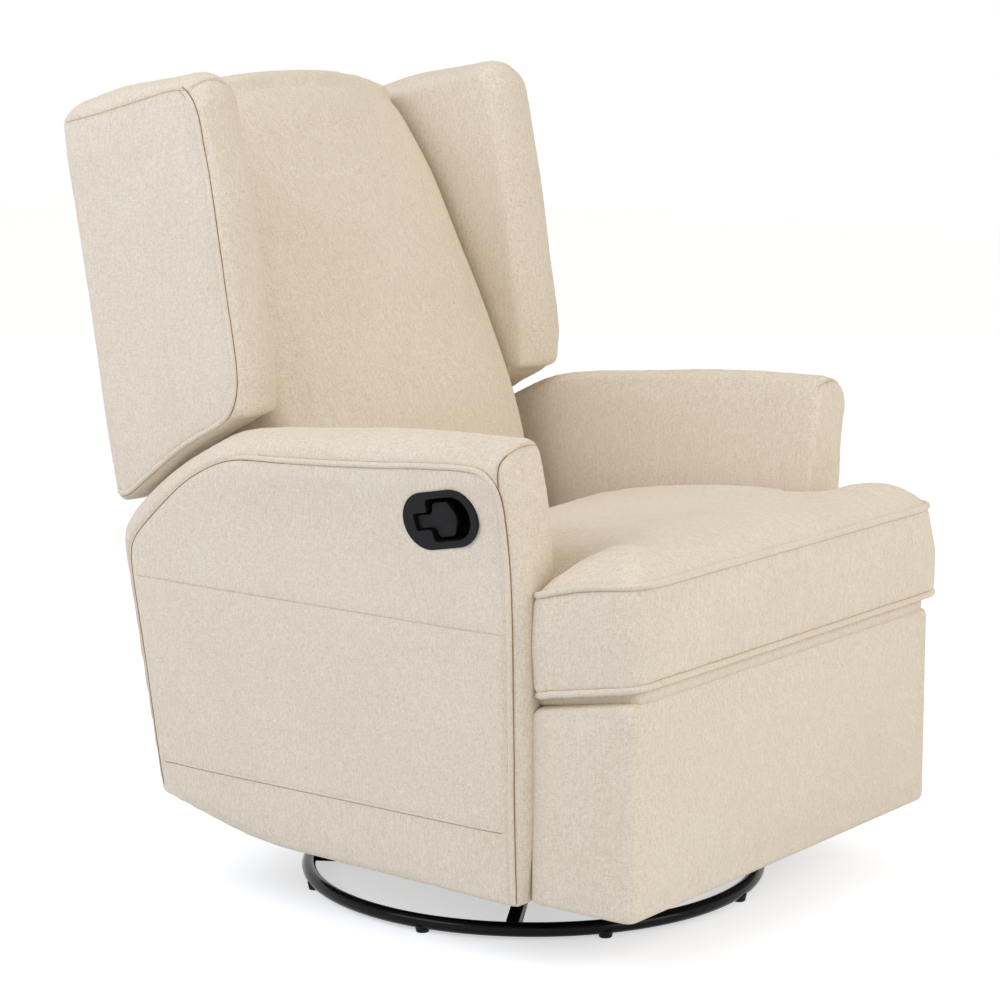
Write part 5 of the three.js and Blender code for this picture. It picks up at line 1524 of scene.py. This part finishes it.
def makePocket(side):
    # the cloth lies on the arm's own surface, with three edges tucked into the seams
    sign = sideSigns[side]
    s = pocketSpec
    tree = BVHTree.FromObject(arms[side], bpy.context.evaluated_depsgraph_get())

    def lying(along, z, out):
        rise = (z - s["footZ"]) / (s["topZ"] - s["footZ"])
        rear = s["rearFootY"] + (s["rearTopY"] - s["rearFootY"]) * rise
        y = s["frontY"] + along * (rear - s["frontY"])
        spot = Vector(placed([(sign * (float(armFace(z, 358, 0)) + 4), y, z)])[0])
        hit = tree.ray_cast(spot + Vector((sign * 0.02, 0, 0)), Vector((-sign, 0, 0)))[0]
        hit = hit or spot
        return hit.x + sign * out * drawing["unit"], hit.y, hit.z

    columns, rows = 150, 60
    heights = s["footZ"] + (s["topZ"] - s["footZ"]) * np.linspace(0, 1, rows + 1)
    points, faces = [], []
    for z in heights:
        for i in range(columns + 1):
            along = i / columns
            width = along * 580
            tucked = min(width, 580 - width, (z - s["footZ"]) * 1.6) / s["tuck"]
            tucked = float(smoothStep(tucked, 0, 1))
            thick = 0.3 * float(smoothStep(z, s["topZ"] - s["hem"] - 2, s["topZ"] - s["hem"] + 2))
            sag = 0.2 * math.sin(math.pi * along) * float(smoothStep(z, 340, 404))
            ripple = 0.2 * float(softNoise(np.array([along * 9 + z * 0.012]), 3)[0])
            out = (s["proud"] + thick + sag + ripple) * tucked - 1.2 * (1 - tucked)
            points.append(lying(along, z, out))
    wide = columns + 1
    for j in range(rows):
        for i in range(columns):
            a = j * wide + i
            faces.append((a, a + 1, a + wide + 1, a + wide))
    piece = meshPiece("side_pocket_" + side + "_cloth", points, faces)
    if sign > 0:
        piece.data.flip_normals()
    cloth = piece.modifiers.new("cloth", "SOLIDIFY")
    cloth.thickness = s["cloth"] * drawing["unit"]
    cloth.offset = -1
    applied(piece)
    shadeSmooth(piece, 50)
    dressed(piece, "chair", "upholstery", "side_pocket_" + side)
    run = np.linspace(0.015, 0.985, 90)
    rows = [(np.array([lying(a, s["topZ"] - s["hem"], s["proud"] + 0.35) for a in run]), False)]
    for along in (0.93, 0.525, 0.09):
        upright = [lying(along, z, s["proud"] + 0.9)
                   for z in np.linspace(s["topZ"] - 2, s["topZ"] - s["hem"], 8)]
        rows.append((np.array(upright), False))
    stitches("side_pocket_" + side + "_stitches", rows, "chair", 4.2, 2.6, 0.3)
    foot = np.array([lying(a, s["footZ"] + 1, 0.3) for a in run])
    welt("side_pocket_" + side + "_lower_seam", [(foot, False)], "chair", 1.3, 0.5)
    # a painted shadow line under the pocket's lower seam
    under = np.array([lying(a, s["footZ"] - 1.2, 0.0) for a in run])
    shadowLine("side_pocket_" + side + "_lower_shadow_line", [(under, False)], "chair", 0.4, softShadowLineCloth)


makePocket("right")
makePocket("left")
print("pockets ready")


# ring: one bent and welded tube, on its nylon glides

ringSpec = {"radius": 292, "tube": 9, "z": 13, "steps": 180, "around": 28}


def makeRing():
    s = ringSpec
    points, faces = [], []
    for i in range(s["steps"]):
        a = 2 * math.pi * i / s["steps"]
        for j in range(s["around"]):
            b = 2 * math.pi * j / s["around"]
            r = s["radius"] + s["tube"] * math.cos(b)
            points.append((r * math.cos(a), r * math.sin(a), s["z"] + s["tube"] * math.sin(b)))
    for i in range(s["steps"]):
        for j in range(s["around"]):
            k, m = (i + 1) % s["steps"], (j + 1) % s["around"]
            faces.append((i * s["around"] + j, k * s["around"] + j, k * s["around"] + m,
                          i * s["around"] + m))
    piece = tidied(meshPiece("base_ring_tube", placed(points), faces), 1e-7)
    shadeSmooth(piece)
    dressed(piece, "floor_base", "ring_enamel", "base_ring")


# metal, wood and nylon parts: the CAD parts with their edges broken

hardParts = {
    "ring_enamel": ["base_spider"],
    "black_nylon": ["floor_glide_1", "floor_glide_2", "floor_glide_3", "floor_glide_4",
                    "floor_glide_5", "floor_glide_6", "floor_glide_7", "floor_glide_8",
                    "release_cable"],
    "frame_enamel": ["swivel_frame", "glide_link_front_right", "glide_link_front_left",
                     "glide_link_rear_right", "glide_link_rear_left", "glide_rail_right",
                     "glide_rail_left", "tie_tube_front", "tie_tube_rear",
                     "mechanism_plate_right", "mechanism_plate_left",
                     "footrest_drive_bar_right", "footrest_drive_bar_left",
                     "footrest_reach_bar_right", "footrest_reach_bar_left",
                     "footrest_torque_tube"],
    "zinc_steel": ["bearing_lower_race", "bearing_upper_race", "footrest_bracket_right",
                   "footrest_bracket_left", "back_bracket_right", "back_bracket_left",
                   "release_trip", "seat_spring_1", "seat_spring_2", "seat_spring_3",
                   "seat_spring_4"],
    "plywood": ["seat_side_rail_right", "seat_side_rail_left", "seat_front_rail",
                "seat_rear_rail", "footrest_board", "back_frame"],
    "deck_felt": ["seat_deck_pad"],
}
brokenEdges = {"plywood": 1.2, "deck_felt": 1.2, "frame_enamel": 0.6,
               "zinc_steel": 0.45, "ring_enamel": 1.0, "black_nylon": 0.6}


def makeHardPart(node, slot):
    source = frame["nodes"][node]
    piece = bpy.data.objects.new(node + "_finished", source.data.copy())
    bpy.context.scene.collection.objects.link(piece)
    tidied(piece, 1e-5)
    edge = piece.modifiers.new("edge", "BEVEL")
    edge.width = brokenEdges[slot] * drawing["unit"]
    edge.segments = 2
    edge.limit_method = "ANGLE"
    edge.angle_limit = math.radians(38)
    applied(piece)
    shadeSmooth(piece, 36)
    dressed(piece, source["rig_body"], slot, node)


makeRing()
for slot, nodes in hardParts.items():
    for node in nodes:
        makeHardPart(node, slot)
print("hard parts ready")


# studio: camera, soft lights, a pale floor

def makeStudio():
    scene = bpy.context.scene
    scene.view_settings.view_transform = "Standard"
    camera = bpy.data.objects.new("camera", bpy.data.cameras.new("camera"))
    scene.collection.objects.link(camera)
    camera.location = (-3.0104, -2.3028, 1.1532)
    turn, pitch = math.radians(-53.078), math.radians(9.935)
    look = Vector((-math.sin(turn) * math.cos(pitch), math.cos(turn) * math.cos(pitch),
                   -math.sin(pitch)))
    camera.rotation_euler = look.to_track_quat("-Z", "Y").to_euler()
    camera.data.lens, camera.data.sensor_width = 107.67, 36
    camera.data.shift_x, camera.data.shift_y = -0.0265, -0.0051
    scene.camera = camera

    floor = meshPiece("floor", [(-9, -9, 0), (9, -9, 0), (9, 9, 0), (-9, 9, 0)], [(0, 1, 2, 3)])
    paper = bpy.data.materials.new("paleFloor")
    paper.use_nodes = True
    tree = paper.node_tree
    shader = next(n for n in tree.nodes if n.type == "BSDF_PRINCIPLED")
    shader.inputs["Base Color"].default_value = (0.79, 0.815, 0.87, 1)
    shader.inputs["Roughness"].default_value = 0.9
    rays = tree.nodes.new("ShaderNodeLightPath").outputs
    seen = maths(tree, "MAXIMUM", rays["Is Camera Ray"], rays["Is Glossy Ray"])
    seen = maths(tree, "MAXIMUM", seen, rays["Is Transmission Ray"])
    shader.inputs["Emission Color"].default_value = (1, 1, 1, 1)
    tree.links.new(maths(tree, "MULTIPLY", seen, 0.55), shader.inputs["Emission Strength"])
    floor.data.materials.append(paper)

    world = bpy.data.worlds.new("studio")
    scene.world = world
    world.use_nodes = True
    tree = world.node_tree
    back = next(n for n in tree.nodes if n.type == "BACKGROUND")
    rays = tree.nodes.new("ShaderNodeLightPath").outputs
    seen = maths(tree, "MAXIMUM", rays["Is Camera Ray"], rays["Is Glossy Ray"])
    seen = maths(tree, "MAXIMUM", seen, rays["Is Transmission Ray"])
    warm = blend(tree, seen, (1.0, 0.955, 0.84, 1), (1, 1, 1, 1))
    tree.links.new(warm, back.inputs["Color"])
    glow = maths(tree, "ADD", maths(tree, "MULTIPLY", seen, 0.49), 0.51)
    tree.links.new(glow, back.inputs["Strength"])

    for name, spot, size, power, color in (
        ("key", (-2.6, 0.9, 2.5), 2.2, 53, (0.80, 0.865, 1.0)),
        ("fill", (0.1, -3.7, 1.9), 2.6, 53, (1.0, 0.98, 0.965)),
        ("top", (0.2, 0.2, 3.6), 2.6, 9, (1.0, 0.985, 0.96)),
    ):
        lamp = bpy.data.lights.new(name, "AREA")
        lamp.size, lamp.energy, lamp.color = size, power, color
        shown = bpy.data.objects.new(name, lamp)
        shown.location = spot
        aim = Vector((0, 0, 0.5)) - Vector(spot)
        shown.rotation_euler = aim.to_track_quat("-Z", "Y").to_euler()
        scene.collection.objects.link(shown)


makeStudio()
print("studio ready")
